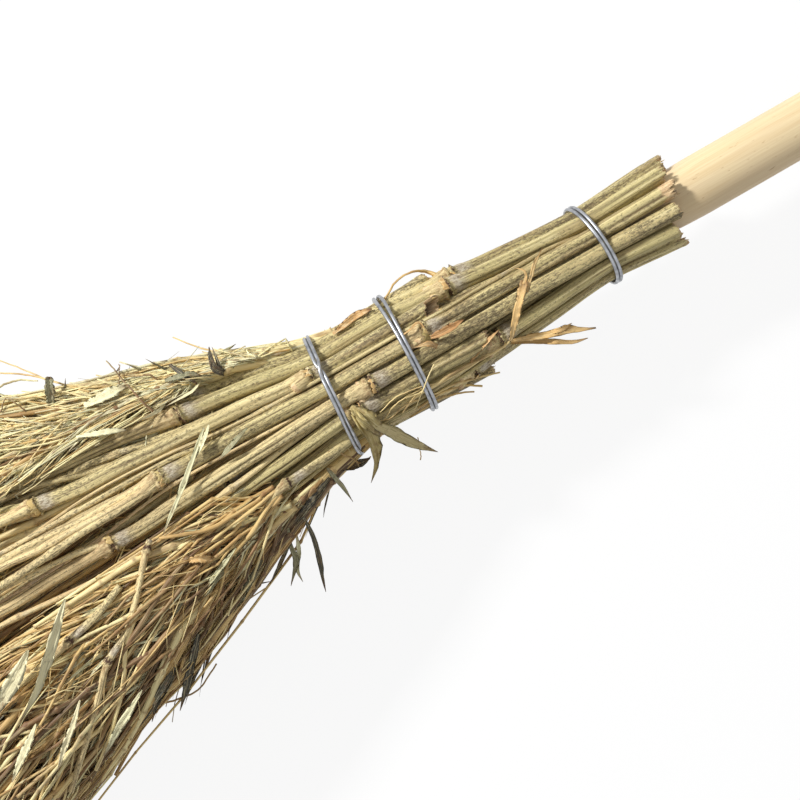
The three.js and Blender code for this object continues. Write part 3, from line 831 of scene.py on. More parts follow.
def pack_stems(angle, depth, radius, start):
    """Stems find room between the canes, one section after another from the cut ends to the brush."""
    sections = np.arange(-38.0, BRUSH_REACH - 10, STEM_STEP)
    spots, last = None, None
    found = np.zeros((len(angle), len(sections), 3))
    for index, reach in enumerate(sections):
        fixed = solids_at(reach)
        width, thickness = cane_ring(reach)
        ground = floor_height(-reach)
        sizes = radius * np.interp(reach, [100, BRUSH_REACH], [1, 0.45])
        risen = depth * (0.72 + 0.28 * smoothstep(start, start + 70, reach))
        around = angle + 0.16 * np.sin(reach / 48 + 5 * angle) * smoothstep(140, 260, reach)
        target = np.stack([width * risen * np.cos(around), thickness * risen * np.sin(around)], axis=1)
        spots = target.copy() if spots is None else spots + target - last
        last = target
        present = start < reach + 10
        for _ in range(PACKING_STEPS):
            spots += 0.05 * (target - spots)
            spots += 0.7 * pushed_apart(spots, sizes, fixed[:, :2], fixed[:, 2]).sum(1)
            between = pushed_apart(spots, sizes, spots, sizes) * (present[:, None] & present[None])[..., None]
            spots += 0.4 * between.sum(1)
            edge = np.hypot(spots[:, 0] / (width - sizes), spots[:, 1] / (thickness - sizes))
            spots /= np.maximum(edge, 1)[:, None]
            spots[:, 1] = np.maximum(spots[:, 1], ground + sizes + 0.3)
        found[:, index, :2], found[:, index, 2] = spots, sizes
    padded = np.concatenate([found[:, :1], found, found[:, -1:]], axis=1)
    return sections, padded[:, :-2] * 0.25 + padded[:, 1:-1] * 0.5 + padded[:, 2:] * 0.25


def stem_rings(rng, sections, route, start, surface):
    """One thin stem with a cut end and a few nodes."""
    end = BRUSH_REACH - rng.uniform(20, 160)
    scars = start + rng.uniform(20, 90) + np.arange(0, 900, rng.uniform(70, 120))
    near = (scars[:, None] + STEM_NODE_STEPS).ravel()
    places = np.concatenate([np.arange(start + 3, end, STEM_STEP), near])
    places = np.unique(places[(places > start + 2) & (places < end)].round(1))
    y, z, radius = (np.interp(places, sections, column) for column in route.T)
    past = past_nearest(places, scars)
    internode = np.searchsorted(scars, places)
    turn = circle(STEM_SIDES)[None]
    shape, groove = uneven_round(rng, places, turn, internode, past)
    swelling = 0.35 * bump(past, 0.2, 0.9) + 0.2 * bump(past, 3.0, 2.2)
    size = radius[:, None] * np.minimum(shape * 0.97 + swelling[:, None], 1.4)
    rings = upright_rings(places, y, z, size, turn)
    middle = np.array([0, y[0], z[0]])
    ragged = rng.uniform(0, 1.0, STEM_SIDES) + 1.0 * np.cos(turn[0] - rng.uniform(0, 6))
    ends = [
        rim(rings[0], middle, 0.45, -start - 4.0),
        rim(rings[0], middle, 0.6, -start - 0.3 - (ragged + 1.0)),
        rim(rings[0], middle, 0.98, -start - (ragged + 1.0)),
    ]
    lead = len(ends)
    rings = np.concatenate([ends, rings])
    size = ended(lead, size[0], size)[0]
    tone = np.clip(rng.normal(0.36, 0.2) + 0.4 * smoothstep(60, 330, places), 0, 1)
    none = np.zeros(len(places))
    surface.add(
        rings[None],
        grain=stem_grain(rings, size, turn) + apart(rng, 1),
        tone=ended(lead, tone[0], tone),
        mottle=rng.uniform(0, 0.8),
        groove=ended(lead, 0.0, groove),
        node_at=ended(lead, 0.5, past * MM / 0.6),
        near_node=ended(lead, 0.0, 0.4 * (1 - smoothstep(8, 11, np.abs(past)))),
        cut=ended(lead, 1.0, none),
        # Painted shade in the hollow: full at the bottom ring, faint at the next
        bore=ended(lead, [1, 0.3, 0], none),
    )


def build_stems():
    """The thin stems that fill the room between the canes, as one piece."""
    rng = np.random.default_rng(63)
    angle, depth, radius, start = stem_homes(rng)
    sections, found = pack_stems(angle, depth, radius, start)
    surface = Surface()
    for index in range(len(angle)):
        stem_rings(rng, sections, found[index], start[index], surface)
    surface.build("thin_stems", CANE, "head", "cane_bamboo")


build_stems()


# Binding wires
WIRE_RADIUS = 1.05
WIRE_DRAWN = 0.86
TURN_PITCH = 1.84
WIRE_SIDES = 14
WINDING_STATIONS = 150
TWIST_STATIONS = 25
WIRE_STEP = 1.1
WIRE_LIFT = 6.2
TWIST_LENGTH = 12.0
TWIST_PITCH = 12.0
TWIST_GAP = 0.85
TWIST_SLOPE = math.radians(25)
TWIST_ROOT = (4.4, 4.2)
LEAVING = [(-2.3, 3.8, 2.4), (1.0, 1.9, 3.8)]
RETURNING = [(2.8, -4.0, 1.4), (3.4, -2.1, 2.9)]
# Name, reach, slant, the angle where the turns stand apart and by how much, the angle where they cross
WIRES = [
    ("top_wire", 0.0, -3.7, 60, 0.3, None),
    ("middle_wire", MIDDLE_REACH, 2.8, 28, 1.3, None),
    ("lower_wire", LOWER_REACH, 5.1, 100, 0.2, 66),
]


def twist_points(place, phase):
    """One end of a wire, wound round the other one away from the bundle."""
    radius = WIRE_RADIUS + TWIST_GAP / 2
    slope_along, slope_out = math.cos(TWIST_SLOPE), math.sin(TWIST_SLOPE)
    distances = np.append(np.linspace(0, TWIST_LENGTH, TWIST_STATIONS), TWIST_LENGTH + 2 * WIRE_RADIUS)
    points = []
    for distance in distances:
        angle = phase + 2 * np.pi * min(distance, TWIST_LENGTH) / TWIST_PITCH
        raised = radius * math.sin(angle)
        along = WIRE_RADIUS * TWIST_ROOT[0] + distance * slope_along - raised * slope_out
        out = WIRE_RADIUS * TWIST_ROOT[1] + distance * slope_out + raised * slope_along
        points.append(place(along, radius * math.cos(angle), out))
    return points


def stepped(path, count):
    """A path in equal steps, and how far along it each of them is."""
    lengths = travelled(path)
    marks = np.linspace(0, lengths[-1], count)
    return np.stack([np.interp(marks, lengths, path[:, axis]) for axis in range(3)], axis=1), marks


def rounded(points, spacing):
    """A smooth curve through the points, in equal steps."""
    points = np.array(points)
    before = np.vstack([2 * points[:1] - points[1:2], points, 2 * points[-1:] - points[-2:-1]])
    dense = []
    for index in range(1, len(before) - 2):
        a, b, c, d = before[index - 1 : index + 3]
        bend, turn = 2 * a - 5 * b + 4 * c - d, 3 * b - a - 3 * c + d
        for t in np.linspace(0, 1, 8, endpoint=False):
            dense.append(0.5 * (2 * b + (c - a) * t + bend * t**2 + turn * t**3))
    dense = np.array([*dense, points[-1]])
    return stepped(dense, int(travelled(dense)[-1] / spacing) + 2)[0]


def carried_frames(path):
    """Directions square to a path that never spin round it."""
    along = unit(np.gradient(path, axis=0))
    normal = unit(np.cross(along[0], np.array([1.0, 0.2, 0.1])))
    normals = []
    for direction in along:
        normal = unit(normal - (normal @ direction) * direction)
        normals.append(normal)
    normals = np.array(normals)
    return normals, np.cross(along, normals)


def build_wire(name, reach, slant, apart_angle, apart_by, cross_angle):
    """One wire in two turns, whose ends are twisted together on the back of the bundle."""
    low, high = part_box(name)
    ring = (high[1] - low[1]) / 2 / MM - WIRE_RADIUS
    slope = math.tan(math.radians(slant))

    def place(along, across, out):
        return (along - reach + across * slope, across, -ring - out)

    def bridge(shares):
        return [place(*(WIRE_RADIUS * share for share in row)) for row in shares]

    turned = np.linspace(WIRE_LIFT / ring, 4 * np.pi - WIRE_LIFT / ring, WINDING_STATIONS)
    angle = turned - np.pi / 2
    round_once = np.angle(np.exp(1j * angle))
    which = np.where(turned < 2 * np.pi, -0.5, 0.5)
    extra = apart_by * bump(round_once, math.radians(apart_angle), 0.5)
    if cross_angle is not None:
        crossing = math.radians(cross_angle)
        swapped = smoothstep(crossing - 0.16, crossing + 0.16, round_once)
        swapped = swapped * (1 - smoothstep(np.pi - 0.5, np.pi - 0.1, round_once))
        extra = extra - 2 * TURN_PITCH * swapped
    # Where the second turn crosses the first, it lies on top of it
    separation = TURN_PITCH + extra
    lift = np.sqrt(np.clip((2 * WIRE_DRAWN + 0.1) ** 2 - separation**2, 0, None)) * (which > 0)
    radius = ring + lift
    y = radius * np.cos(angle)
    x = TURN_PITCH * (turned / (2 * np.pi) - 1) + which * extra - reach + y * slope
    winding = np.stack([x, y, radius * np.sin(angle)], axis=1)
    points = [*twist_points(place, 0)[::-1], *bridge(LEAVING)[::-1], *winding, *bridge(RETURNING)]
    path = rounded([*points, *twist_points(place, np.pi)], WIRE_STEP)

    normals, across = carried_frames(path)
    angles = circle(WIRE_SIDES)
    high = np.broadcast_to(WIRE_DRAWN * np.cos(angles), (len(path), WIRE_SIDES))
    wide = np.broadcast_to(WIRE_DRAWN * np.sin(angles), (len(path), WIRE_SIDES))
    rings, grain = rings_round(path, normals, across, high, wide)
    surface = Surface()
    surface.add(rings[None], grain=grain[None])
    surface.build("fine_" + name, STEEL, "head", "binding_wire", [name])


for wire in WIRES:
    build_wire(*wire)


# Twigs
LID_GAP = 1.0
TOP_TURN = math.radians(35)  # the outermost twigs leave the wires no higher than this angle
TOP_LOOSE = 4.0
FLATTENING = (260, 470)  # the reach over which the brush's upper side goes from domed to flat
CANE_THICKNESS = (3.7, 1.1)
LEFT_PINCH = 10.0
RIGHT_WAVE = 1.6
WIDEST = 203.0


def fan_side(reach, y):
    """Half the brush's width on the side of y: the side of +y is a little narrower near its root."""
    width = fan(reach)[0]
    pinch = smoothstep(160, 260, reach) * (1 - smoothstep(360, 540, reach))
    wave = smoothstep(160, 220, reach) * (np.sin(reach / 14.0) + 0.6 * np.sin(reach / 7.3 + 1.0))
    return width - LEFT_PINCH * pinch * (y > 0) - RIGHT_WAVE * (1 + wave) * (y < 0)


def beside_height(reach, y):
    """How high the twigs stand beside the canes: domed near the wires, flatter and lower further out."""
    ring_width, ring_thickness = cane_ring(reach)
    width, rise, _ = fan(reach)
    domed = rise * np.sqrt(np.clip(1 - (y / (width * 1.1)) ** 2, 0.05, 1))
    cosine, sine = math.cos(TOP_TURN), math.sin(TOP_TURN)
    share = np.clip((np.abs(y) / cosine - ring_width) / np.maximum(width - ring_width, 1), 0, 1)
    flat = sine * (ring_thickness + (rise - ring_thickness) * share) + TOP_LOOSE
    flattened = smoothstep(*FLATTENING, reach)
    return domed * (1 - flattened) + np.minimum(flat, domed) * flattened


def cane_thickness(reach):
    """The radius of the canes that the twigs lie under or beside."""
    return np.interp(reach, [LOWER_REACH, BRUSH_REACH], CANE_THICKNESS)


def lid_height(reach, y):
    """How high the twigs may lie: under the canes in the middle, and up to the fan's top beside them."""
    ring_width, ring_thickness = cane_ring(reach)
    over = np.sqrt(np.clip(1 - (y / ring_width) ** 2, 0, 1)) * ring_thickness
    mixed = smoothstep(ring_width * 0.84, ring_width * 1.02, np.abs(y))
    under = over - 2 * cane_thickness(reach) - LID_GAP
    return under * (1 - mixed) + beside_height(reach, y) * mixed


def surface_height(reach, y):
    """The height of the broom's upper side under a place, canes and twigs alike."""
    ring_width, ring_thickness = cane_ring(reach)
    over = np.sqrt(np.clip(1 - (y / ring_width) ** 2, 0.02, 1)) * ring_thickness
    return np.where(reach > LOWER_REACH, np.maximum(over, beside_height(reach, y) - 2), over)


def inside_fan(reach, y, rng):
    """Holds twigs inside the fan, whose edge is uneven."""
    own = rng.uniform(0, 1, (len(y), 1))
    loose = rng.uniform(0, 1, (len(y), 1)) < 0.03
    width = fan_side(reach, y) * (0.86 + 0.15 * own)
    beyond = np.clip(np.abs(y) - width, 0, None)
    give = np.where(loose, 9, 4)
    y = np.sign(y) * (np.minimum(np.abs(y), width) + give * np.tanh(beyond / give))
    return np.clip(y, -WIDEST, WIDEST)


def settle(points, depth, radius, rng):
    """Keeps twigs under the canes, above the floor and inside the fan."""
    reach, y, z = -points[..., 0], points[..., 1], points[..., 2]
    y = inside_fan(reach, y, rng)
    z = np.minimum(z, lid_height(reach, y) - depth)
    z = np.maximum(z, floor_height(-reach) + radius + 0.3)
    return np.stack([-reach, y, z], axis=-1)


def home(reach, angle, depth, outer):
    """Where a strand of the brush is at a reach, if it runs straight through the fan."""
    ring_width, ring_thickness = cane_ring(reach)
    width, rise, drop = fan(reach)
    cane = cane_thickness(reach)
    cosine, sine = np.cos(angle), np.sin(angle)
    settled = np.where(sine < 0, sine * (1 + PRESSED * (1 - sine**2)), sine)
    inside_y = (ring_width - 2 * cane - 1) * depth * cosine
    inside_z = (ring_thickness - 2 * cane - 1) * depth * settled
    held = 1.6 * (1 - smoothstep(LOWER_REACH + 2, LOWER_REACH + 18, reach))
    outside_y = (ring_width - held + (width - ring_width) * depth) * cosine
    high = np.where(sine > 0, rise, drop)
    outside_z = (ring_thickness - held + (high - ring_thickness) * depth) * settled
    return np.where(outer, outside_y, inside_y), np.where(outer, outside_z, inside_z)


def jointed(points, radius, taper, knots):
    """The paths and radii of twigs that swell at their nodes, and a mark at each node."""
    count, places, _ = points.shape
    radii = radius[:, None] * np.linspace(1, taper, places)[None]
    if not knots:
        return points, radii, np.zeros(places)
    ahead = unit(np.diff(points, axis=1))
    back = np.concatenate([ahead[:, :1], ahead], axis=1)
    ahead = np.concatenate([ahead, ahead[:, -1:]], axis=1)
    reach_by = np.minimum(1.4, 2.2 * radii)[..., None]
    trio = [points - back * reach_by, points, points + ahead * reach_by]
    paths = np.stack(trio, axis=2).reshape(count, places * 3, 3)[:, 1:-1]
    swell = np.stack([radii, radii * 1.36, radii * 1.06], axis=2).reshape(count, places * 3)[:, 1:-1]
    return paths, swell, np.tile([0.0, 1.0, 0.25], places)[1:-1]


class Strands:
    """Twigs of one kind: straight between their nodes, with a small turn at each.

    A home is an angle, a depth and whether the strand runs beside the canes. The drift and slope are
    where a strand starts from its home, and which way. The ease is how much of a turn is left at the
    next node, and the shake is how much is added.
    """

    def __init__(self, rng, start, homes, drift, slope, nodes, spacing, radius, ease, shake):
        count = len(start)
        angle, depth, outer = homes
        steps = spacing[:, None] * rng.uniform(0.7, 1.3, (count, nodes))
        reach = start[:, None] + summed(steps)
        slopes = np.zeros((count, nodes, 2))
        slopes[:, 0] = slope
        for index in range(1, nodes):
            slopes[:, index] = slopes[:, index - 1] * ease + rng.normal(0, shake, (count, 2))
        moved = summed(slopes * steps[..., None], axis=1) + drift[:, None]
        y, z = home(reach, angle[:, None], depth[:, None], outer[:, None])
        points = np.stack([-reach, y + moved[..., 0], z + moved[..., 1]], axis=-1)
        buried = rng.uniform(0.5, 7, (count, 1)) * rng.uniform(0.3, 1, (count, 1))
        self.points = settle(points, buried, radius[:, None], rng)
        self.reach, self.homes, self.radius, self.rng = reach, homes, radius, rng

    def pick(self, count, first, last):
        """Random nodes to grow from: their homes, reaches and how far they stand from home."""
        strand = self.rng.integers(0, len(self.reach), count)
        place = self.rng.integers(first, last, count)
        homes = [value[strand] for value in self.homes]
        reach = self.reach[strand, place]
        base_y, base_z = home(reach, *homes)
        here = self.points[strand, place]
        return homes, reach, np.stack([here[:, 1] - base_y, here[:, 2] - base_z], axis=1)

    def add_to(self, surfaces, tone, sides, taper, knots):
        """Adds the tubes to the surface of their quarter of the brush."""
        paths, swell, marks = jointed(self.points, self.radius, taper, knots)
        rings, grain = tubes(paths, swell, sides)
        grain = grain + apart(self.rng, len(paths))
        quarter = np.floor(np.mod(self.homes[0], 2 * np.pi) / (np.pi / 2)).astype(int) % 4
        for index, surface in enumerate(surfaces):
            mine = quarter == index
            surface.add(rings[mine], grain=grain[mine], tone=tone[mine], node=marks[None])


# How far from the middle the loose twigs begin to cover the canes, at each reach and on each side of y
COVER_EDGE = {
    -1: ([180, 240, 320, 700], [20.0, 25.0, 30.0, 44.0]),
    1: ([190, 230, 290, 700], [37.0, 38.0, 34.0, 44.0]),
}
COVER_REACH = (178, 470)  # where the loose twigs start; further on the canes have ended
COVER_ROOT = 26.0  # how long a loose stick takes to come out from between the others
COVER_STRAY = {-1: 10.0, 1: 6.0}  # how far a loose twig may stray in over the canes, on each side of y
COVER_STATIONS = 6
# Side of y, count, radii, lengths, spread of direction, bends, lifts, middle tone, sides, knots
COVER_TWIGS = [
    (-1, 70, (1.1, 2.1), (50, 150), 0.2, 0.1, (1, 6), 0.4, 9, True),
    (-1, 400, (0.45, 1.2), (26, 110), 0.3, 0.14, (0.5, 7), 0.3, 7, True),
    (-1, 460, (0.22, 0.42), (12, 50), 0.6, 0.25, (2, 8), 0.4, 5, False),
    (1, 26, (0.8, 1.5), (60, 150), 0.08, 0.07, (0, 1), 0.6, 8, True),
    (1, 560, (0.24, 0.6), (16, 60), 0.4, 0.1, (0, 3.2), 0.7, 5, False),
]


def over_canes(rng, side, count, lengths, spread, lifts, places, bends=0.07):
    """Sticks that lie loosely over the canes, on the side of y, straight but for a turn at each node."""
    reach = rng.uniform(*COVER_REACH, count)
    near = np.interp(reach, *COVER_EDGE[side])
    width = np.maximum(fan_side(reach, side) - 5, near + 4)
    share = rng.uniform(0, 1, count) ** 1.15
    y = side * (near + share * (width - near))
    length = np.minimum(rng.uniform(*lengths, count), BRUSH_REACH - 4 - reach)
    slope = side * (0.1 + 0.2 * share) + rng.normal(0, spread, count)
    turns = np.cumsum(rng.normal(0, bends, (count, places - 1)), axis=1)
    step = (length / (places - 1))[:, None]
    along = step * np.arange(places)[None]
    across = summed((slope[:, None] + turns) * step)
    reach = reach[:, None] + along / np.hypot(1, slope)[:, None]
    stray = COVER_STRAY[side] * rng.uniform(-0.4, 1, (count, 1))
    inner = np.interp(reach, *COVER_EDGE[side]) - stray
    y = inside_fan(reach, side * np.maximum(side * (y[:, None] + across), inner), rng)
    past_canes = smoothstep(380, 500, reach)
    base = surface_height(reach, y) * (1 - past_canes) + lid_height(reach, y) * past_canes
    way = np.linspace(0, 1, places)[None]
    chord = base[:, :1] * (1 - way) + base[:, -1:] * way
    lift = rng.uniform(*lifts, (count, 1)) + rng.normal(0, 1.0, (count, 1)) * (way - 0.5)
    edge = 1 - smoothstep(fan_side(reach, y) * 0.8, fan_side(reach, y), np.abs(y))
    begun = smoothstep(inner - 2, inner + 14, np.abs(y))
    z = np.maximum(base, 0.5 * (base + chord)) + lift * (0.25 + 0.75 * edge) * (0.25 + 0.75 * begun)
    z -= (1.5 + lift) * (1 - smoothstep(0, COVER_ROOT, way * length[:, None]))
    return np.stack([-reach, y, np.maximum(z, floor_height(-reach) + 2)], axis=-1)


def add_cover(rng, left, right):
    """Adds the loose twigs over the canes to the upper quarters of the brush."""
    for side, count, radii, lengths, spread, bends, lifts, middle, sides, knots in COVER_TWIGS:
        points = over_canes(rng, side, count, lengths, spread, lifts, COVER_STATIONS, bends)
        paths, swell, marks = jointed(points, rng.uniform(*radii, count), 0.5, knots)
        rings, grain = tubes(paths, swell, sides)
        tone = np.clip(rng.normal(middle, 0.24, count), 0.02, 1)
        surface = right if side < 0 else left
        surface.add(rings, grain=grain + apart(rng, count), tone=tone, node=marks[None])


def twig_tone(rng, y):
    """Golden and brown on the right of the fan, paler and greener on its left."""
    side = np.clip(y / 50, -0.75, 1)
    varied = rng.normal(0, 1, len(y)) * (0.19 + 0.05 * np.clip(-side, 0, 1))
    return np.clip(0.44 + varied + 0.3 * side, 0.0, 1.0)


MAIN_NODES = 16
SIDE_NODES = 6
FINE_NODES = 4
MAIN_INNER = 300
MAIN_OUTER = 560
STOUT_TWIGS = 260
SIDE_TWIGS = 3000
FINE_TWIGS = 3600
QUARTERS = ["upper_left", "upper_right", "lower_right", "lower_left"]


def build_brush():
    """Main strands out of the bundle, side twigs on them, fine twigs on those, and the loose cover."""
    rng = np.random.default_rng(77)
    surfaces = [Surface() for _ in QUARTERS]
    count = MAIN_INNER + MAIN_OUTER
    outer = np.arange(count) >= MAIN_INNER
    around = rng.uniform(-np.pi - TOP_TURN, TOP_TURN, count)
    angle = np.where(outer, around, rng.uniform(-np.pi, np.pi, count))
    depth = np.where(outer, rng.uniform(0.0, 1.0, count) ** 0.8, np.sqrt(rng.uniform(0, 1, count)))
    start = np.where(outer, rng.uniform(122, 150, count), rng.uniform(108, 150, count))
    end = LOWER_REACH + BRUSH_LENGTH * rng.uniform(0.66, 0.985, count)
    stout = rng.permutation(count) < STOUT_TWIGS
    radius = np.where(stout, rng.uniform(1.6, 2.5, count), rng.uniform(0.7, 1.6, count))
    none = np.zeros((count, 2))
    homes = (angle, depth, outer)
    spacing = (end - start) / MAIN_NODES
    mains = Strands(rng, start, homes, none, none, MAIN_NODES, spacing, radius, ease=0.6, shake=0.045)
    mains.add_to(surfaces, twig_tone(rng, mains.points[:, 8, 1]), sides=7, taper=0.45, knots=True)

    homes, begin, drift = mains.pick(SIDE_TWIGS, first=1, last=13)
    slope = rng.normal(0, 1, (SIDE_TWIGS, 2)) * np.array([0.36, 0.22])
    spacing = np.minimum(rng.uniform(12, 34, SIDE_TWIGS), (BRUSH_REACH - begin) / 6.9)
    radius = rng.uniform(0.42, 1.1, SIDE_TWIGS)
    side = Strands(rng, begin, homes, drift, slope, SIDE_NODES, spacing, radius, ease=0.74, shake=0.11)
    side.add_to(surfaces, twig_tone(rng, side.points[:, 3, 1]), sides=5, taper=0.55, knots=True)

    homes, begin, drift = side.pick(FINE_TWIGS, first=1, last=6)
    slope = rng.normal(0, 1, (FINE_TWIGS, 2)) * np.array([0.62, 0.4])
    spacing = np.minimum(rng.uniform(6, 17, FINE_TWIGS), (BRUSH_REACH + 6 - begin) / 4.6)
    radius = rng.uniform(0.2, 0.4, FINE_TWIGS)
    fine = Strands(rng, begin, homes, drift, slope, FINE_NODES, spacing, radius, ease=0.85, shake=0.18)
    fine.add_to(surfaces, twig_tone(rng, fine.points[:, 2, 1]) + 0.08, sides=4, taper=0.6, knots=False)

    add_cover(rng, surfaces[0], surfaces[1])
    for name, surface in zip(QUARTERS, surfaces):
        surface.build(name + "_brush", TWIG, "head", "twig_bamboo", [name + "_twigs"])


build_brush()


# Branches and papery scars at the canes' nodes
BRANCH_SIDES = 9
STUB_STATIONS = 4
BRANCH_STATIONS = 30


def build_branches():
    """The side branches that leave the canes at their nodes, and the short stubs that were cut off."""
    rng = np.random.default_rng(91)
    surface = Surface()
    for name in CANE_NAMES:
        at, scars, _, cane_end = cane_facts[name]
        for scar in scars:
            y, z, radius = cane_spot(name, scar + 3.0)
            outward = math.atan2(z, y)
            for _ in range(2 if scar < 420 else 1):
                aim = outward + rng.choice([-1, 1]) * rng.uniform(0.4, 1.5)
                tall, wide = math.sin(aim), math.cos(aim)
                size = radius * rng.uniform(0.36, 0.58)
                length, steps = rng.uniform(5, 9), STUB_STATIONS
                if scar > 150 and rng.uniform() > 0.25:
                    length, steps = min(rng.uniform(90, 280), cane_end + 4 - scar), BRANCH_STATIONS
                travel = np.linspace(0, length, steps)
                spread = rng.uniform(0.02, 0.12)
                swung = (radius * 0.8 + size * 0.9) * (1 - np.exp(-travel / 11))
                lean = radius * 0.35 + swung + spread * travel
                bend_y, bend_z, _ = at(scar + 3.0 + travel)
                wave = smooth_noise(rng, travel, 120) * np.clip(travel / 120, 0, 1) * 3
                beside, over = bend_y + wide * lean + wave, bend_z + tall * lean
                path = np.stack([-(scar + 2.0 + travel), beside, over], axis=-1)
                knots = bump(np.mod(travel + rng.uniform(0, 40), 47), 20, 3.0)
                radii = size * np.interp(travel, [0, 2, 6, 280], [1.3, 1.2, 1, 0.45]) * (1 + 0.35 * knots)
                path[:, 2] = np.maximum(path[:, 2], floor_height(path[:, 0]) + radii + 0.3)
                rings, grain = tubes(path[None], radii[None], BRANCH_SIDES)
                cut = np.zeros(steps)
                if steps == STUB_STATIONS:
                    rings[0, -1, :, 0] += rng.uniform(-1.2, 1.2, BRANCH_SIDES)
                    cut[-1] = 1.0
                surface.add(
                    rings,
                    grain=grain + apart(rng, 1),
                    tone=np.clip(rng.normal(0.66, 0.16), 0, 1),
                    mottle=rng.uniform(0, 0.6),
                    groove=0.0,
                    node_at=np.where(knots > 0.5, 0.0035, 0.5)[None],
                    near_node=0.4 * (knots > 0.3).astype(float)[None],
                    cut=cut[None],
                    bore=0.0,
                )
    surface.build("side_branches", CANE, "head", "cane_bamboo")


# Leaves
# Round a blade: how far across, which face, and which of its five columns
LEAF_ACROSS = np.array([-1, -0.5, 0, 0.5, 1, 0.5, 0, -0.5])
LEAF_FACE = np.array([0, 1, 1, 1, 0, -1, -1, -1])
LEAF_COLUMN = np.array([0, 1, 2, 3, 4, 3, 2, 1])
LEAF_THICKNESS = 0.11


def leaf_outline(share):
    """How wide a pointed leaf is at a share of its length."""
    return np.sin(np.pi * share**0.7) ** 0.85 * (1 - 0.15 * share) + 0.08 * (1 - share)


def blade_rings(rng, path, face, half_width, fold, curl, twist):
    """Thin closed blades along paths: leaves x stations x 3, with one half width for each station."""
    share = np.linspace(0, 1, path.shape[1])
    direction = unit(np.gradient(path, axis=1))
    normal = square_to(direction, face)
    across = np.cross(direction, normal)
    roll = (twist[:, None] * share)[..., None]
    turned = normal * np.cos(roll) + across * np.sin(roll)
    sideways = across * np.cos(roll) - normal * np.sin(roll)
    wide = half_width[..., None] * LEAF_ACROSS
    bowed = fold[:, None, None] * np.abs(LEAF_ACROSS) + curl[:, None, None] * LEAF_ACROSS**2
    thin = 0.3 + 0.7 * np.clip(half_width / 0.8, 0, 1)
    crumpled = rng.normal(0, 0.16, wide.shape[:2] + (5,))[..., LEAF_COLUMN]
    crumpled = crumpled * np.minimum(half_width, 1.5)[..., None]
    high = half_width[..., None] * bowed + crumpled + LEAF_THICKNESS * LEAF_FACE * thin[..., None]
    rings = path[:, :, None] + high[..., None] * turned[:, :, None] + wide[..., None] * sideways[:, :, None]
    along = np.broadcast_to(travelled(path)[..., None], wide.shape)
    return rings, np.stack([along, wide, high], axis=-1) * MM


def keep_in(rings):
    """Leaves lie on the floor rather than in it, and inside the object's reach."""
    reach = np.minimum(-rings[..., 0], BRUSH_REACH + 12)
    y = np.clip(rings[..., 1], -WIDEST, WIDEST)
    z = np.maximum(rings[..., 2], floor_height(-reach) + 0.4)
    return np.stack([-reach, y, z], axis=-1)


def add_blades(surface, rng, path, face, half_width, tone, fold, curl, twist):
    """Adds blades to a surface, with what the leaf finish needs at each point."""
    rings, grain = blade_rings(rng, path, face, half_width, fold, curl, twist)
    surface.add(
        keep_in(rings),
        grain=grain + apart(rng, len(path)),
        tone=tone,
        side=np.abs(LEAF_ACROSS)[None, None],
        along=np.linspace(0, 1, path.shape[1])[None],
    )


def build_leaves(rng, name, path, face, widths, middle, spread, twist):
    """Dry leaves along paths, as one piece, with tones spread round a middle one."""
    count, stations, _ = path.shape
    half = rng.uniform(*widths, (count, 1)) * leaf_outline(np.linspace(0, 1, stations))[None]
    half = np.maximum(half * rng.uniform(0.75, 1.15, half.shape), 0.05)
    tone = np.clip(rng.normal(middle, spread, count), 0, 1)
    fold, curl = rng.uniform(0.1, 0.9, count), rng.uniform(-0.8, 0.8, count)
    surface = Surface()
    add_blades(surface, rng, path, face, half, tone, fold, curl, rng.normal(0, twist, count))
    surface.build(name, LEAF, "head", "twig_bamboo")


# Shares of the way along the brush: the litter thins out towards the tips
LITTER_SHARES = ([0, 0.66, 0.88, 1], [0, 0.5, 0.75, 1])
LITTER_RAGGED = 80.0


def skin_path(rng, count, reaches, angles, length, stations, heading, lift, sunk):
    """Paths that lie on the brush's skin between two angles, some of them lifting off towards their tips."""
    share = np.linspace(0, 1, stations)[None]
    thinning = np.interp(rng.uniform(0, 1, (count, 1)), *LITTER_SHARES)
    reach = reaches[0] + (reaches[1] - reaches[0]) * thinning
    around = np.radians(rng.uniform(*angles, (count, 1)))
    turning = np.cumsum(rng.normal(0, heading * 0.35, (count, stations)), axis=1)
    way = rng.normal(0, heading, (count, 1)) + turning
    way += np.pi * (rng.uniform(0, 1, (count, 1)) < 0.12)
    step = length[:, None] / (stations - 1)
    reach = reach + np.cumsum(np.cos(way) * step, axis=1)
    last = BRUSH_REACH - LITTER_RAGGED * rng.uniform(0, 1, (count, 1)) ** 1.5
    reach = reach - np.clip(reach.max(1, keepdims=True) - last, 0, None)
    reach = np.maximum(reach, LOWER_REACH + 6)
    width, rise, drop = fan(reach)
    width = fan_side(reach, np.cos(around))
    around = around + np.cumsum(np.sin(way) * step / width, axis=1)
    off = rng.uniform(-sunk, 2.0, (count, 1)) + lift * share**2 * rng.exponential(1.0, (count, 1))
    cosine, sine = np.cos(around), np.sin(around)
    high = np.where(sine > 0, rise, drop)
    path = np.stack([-reach, (width + off) * cosine, (high + off) * sine], axis=-1)
    # Beside the canes the skin is flatter than the ellipse, and under them nothing lies
    lid = lid_height(reach, path[..., 1]) + off + 0.5
    lid -= 2.5 * (np.abs(path[..., 1]) < cane_ring(reach)[0])
    path[..., 2] = np.where(sine > 0, np.minimum(path[..., 2], lid), path[..., 2])
    path[..., 2] = np.maximum(path[..., 2], floor_height(-reach) + 0.6)
    face = np.stack([np.zeros_like(reach), cosine, sine * 1.4 + 0.01], axis=-1)
    return path, face


LEAF_STATIONS = 8
STRAW_STATIONS = 6
STRAW_SIDES = 5
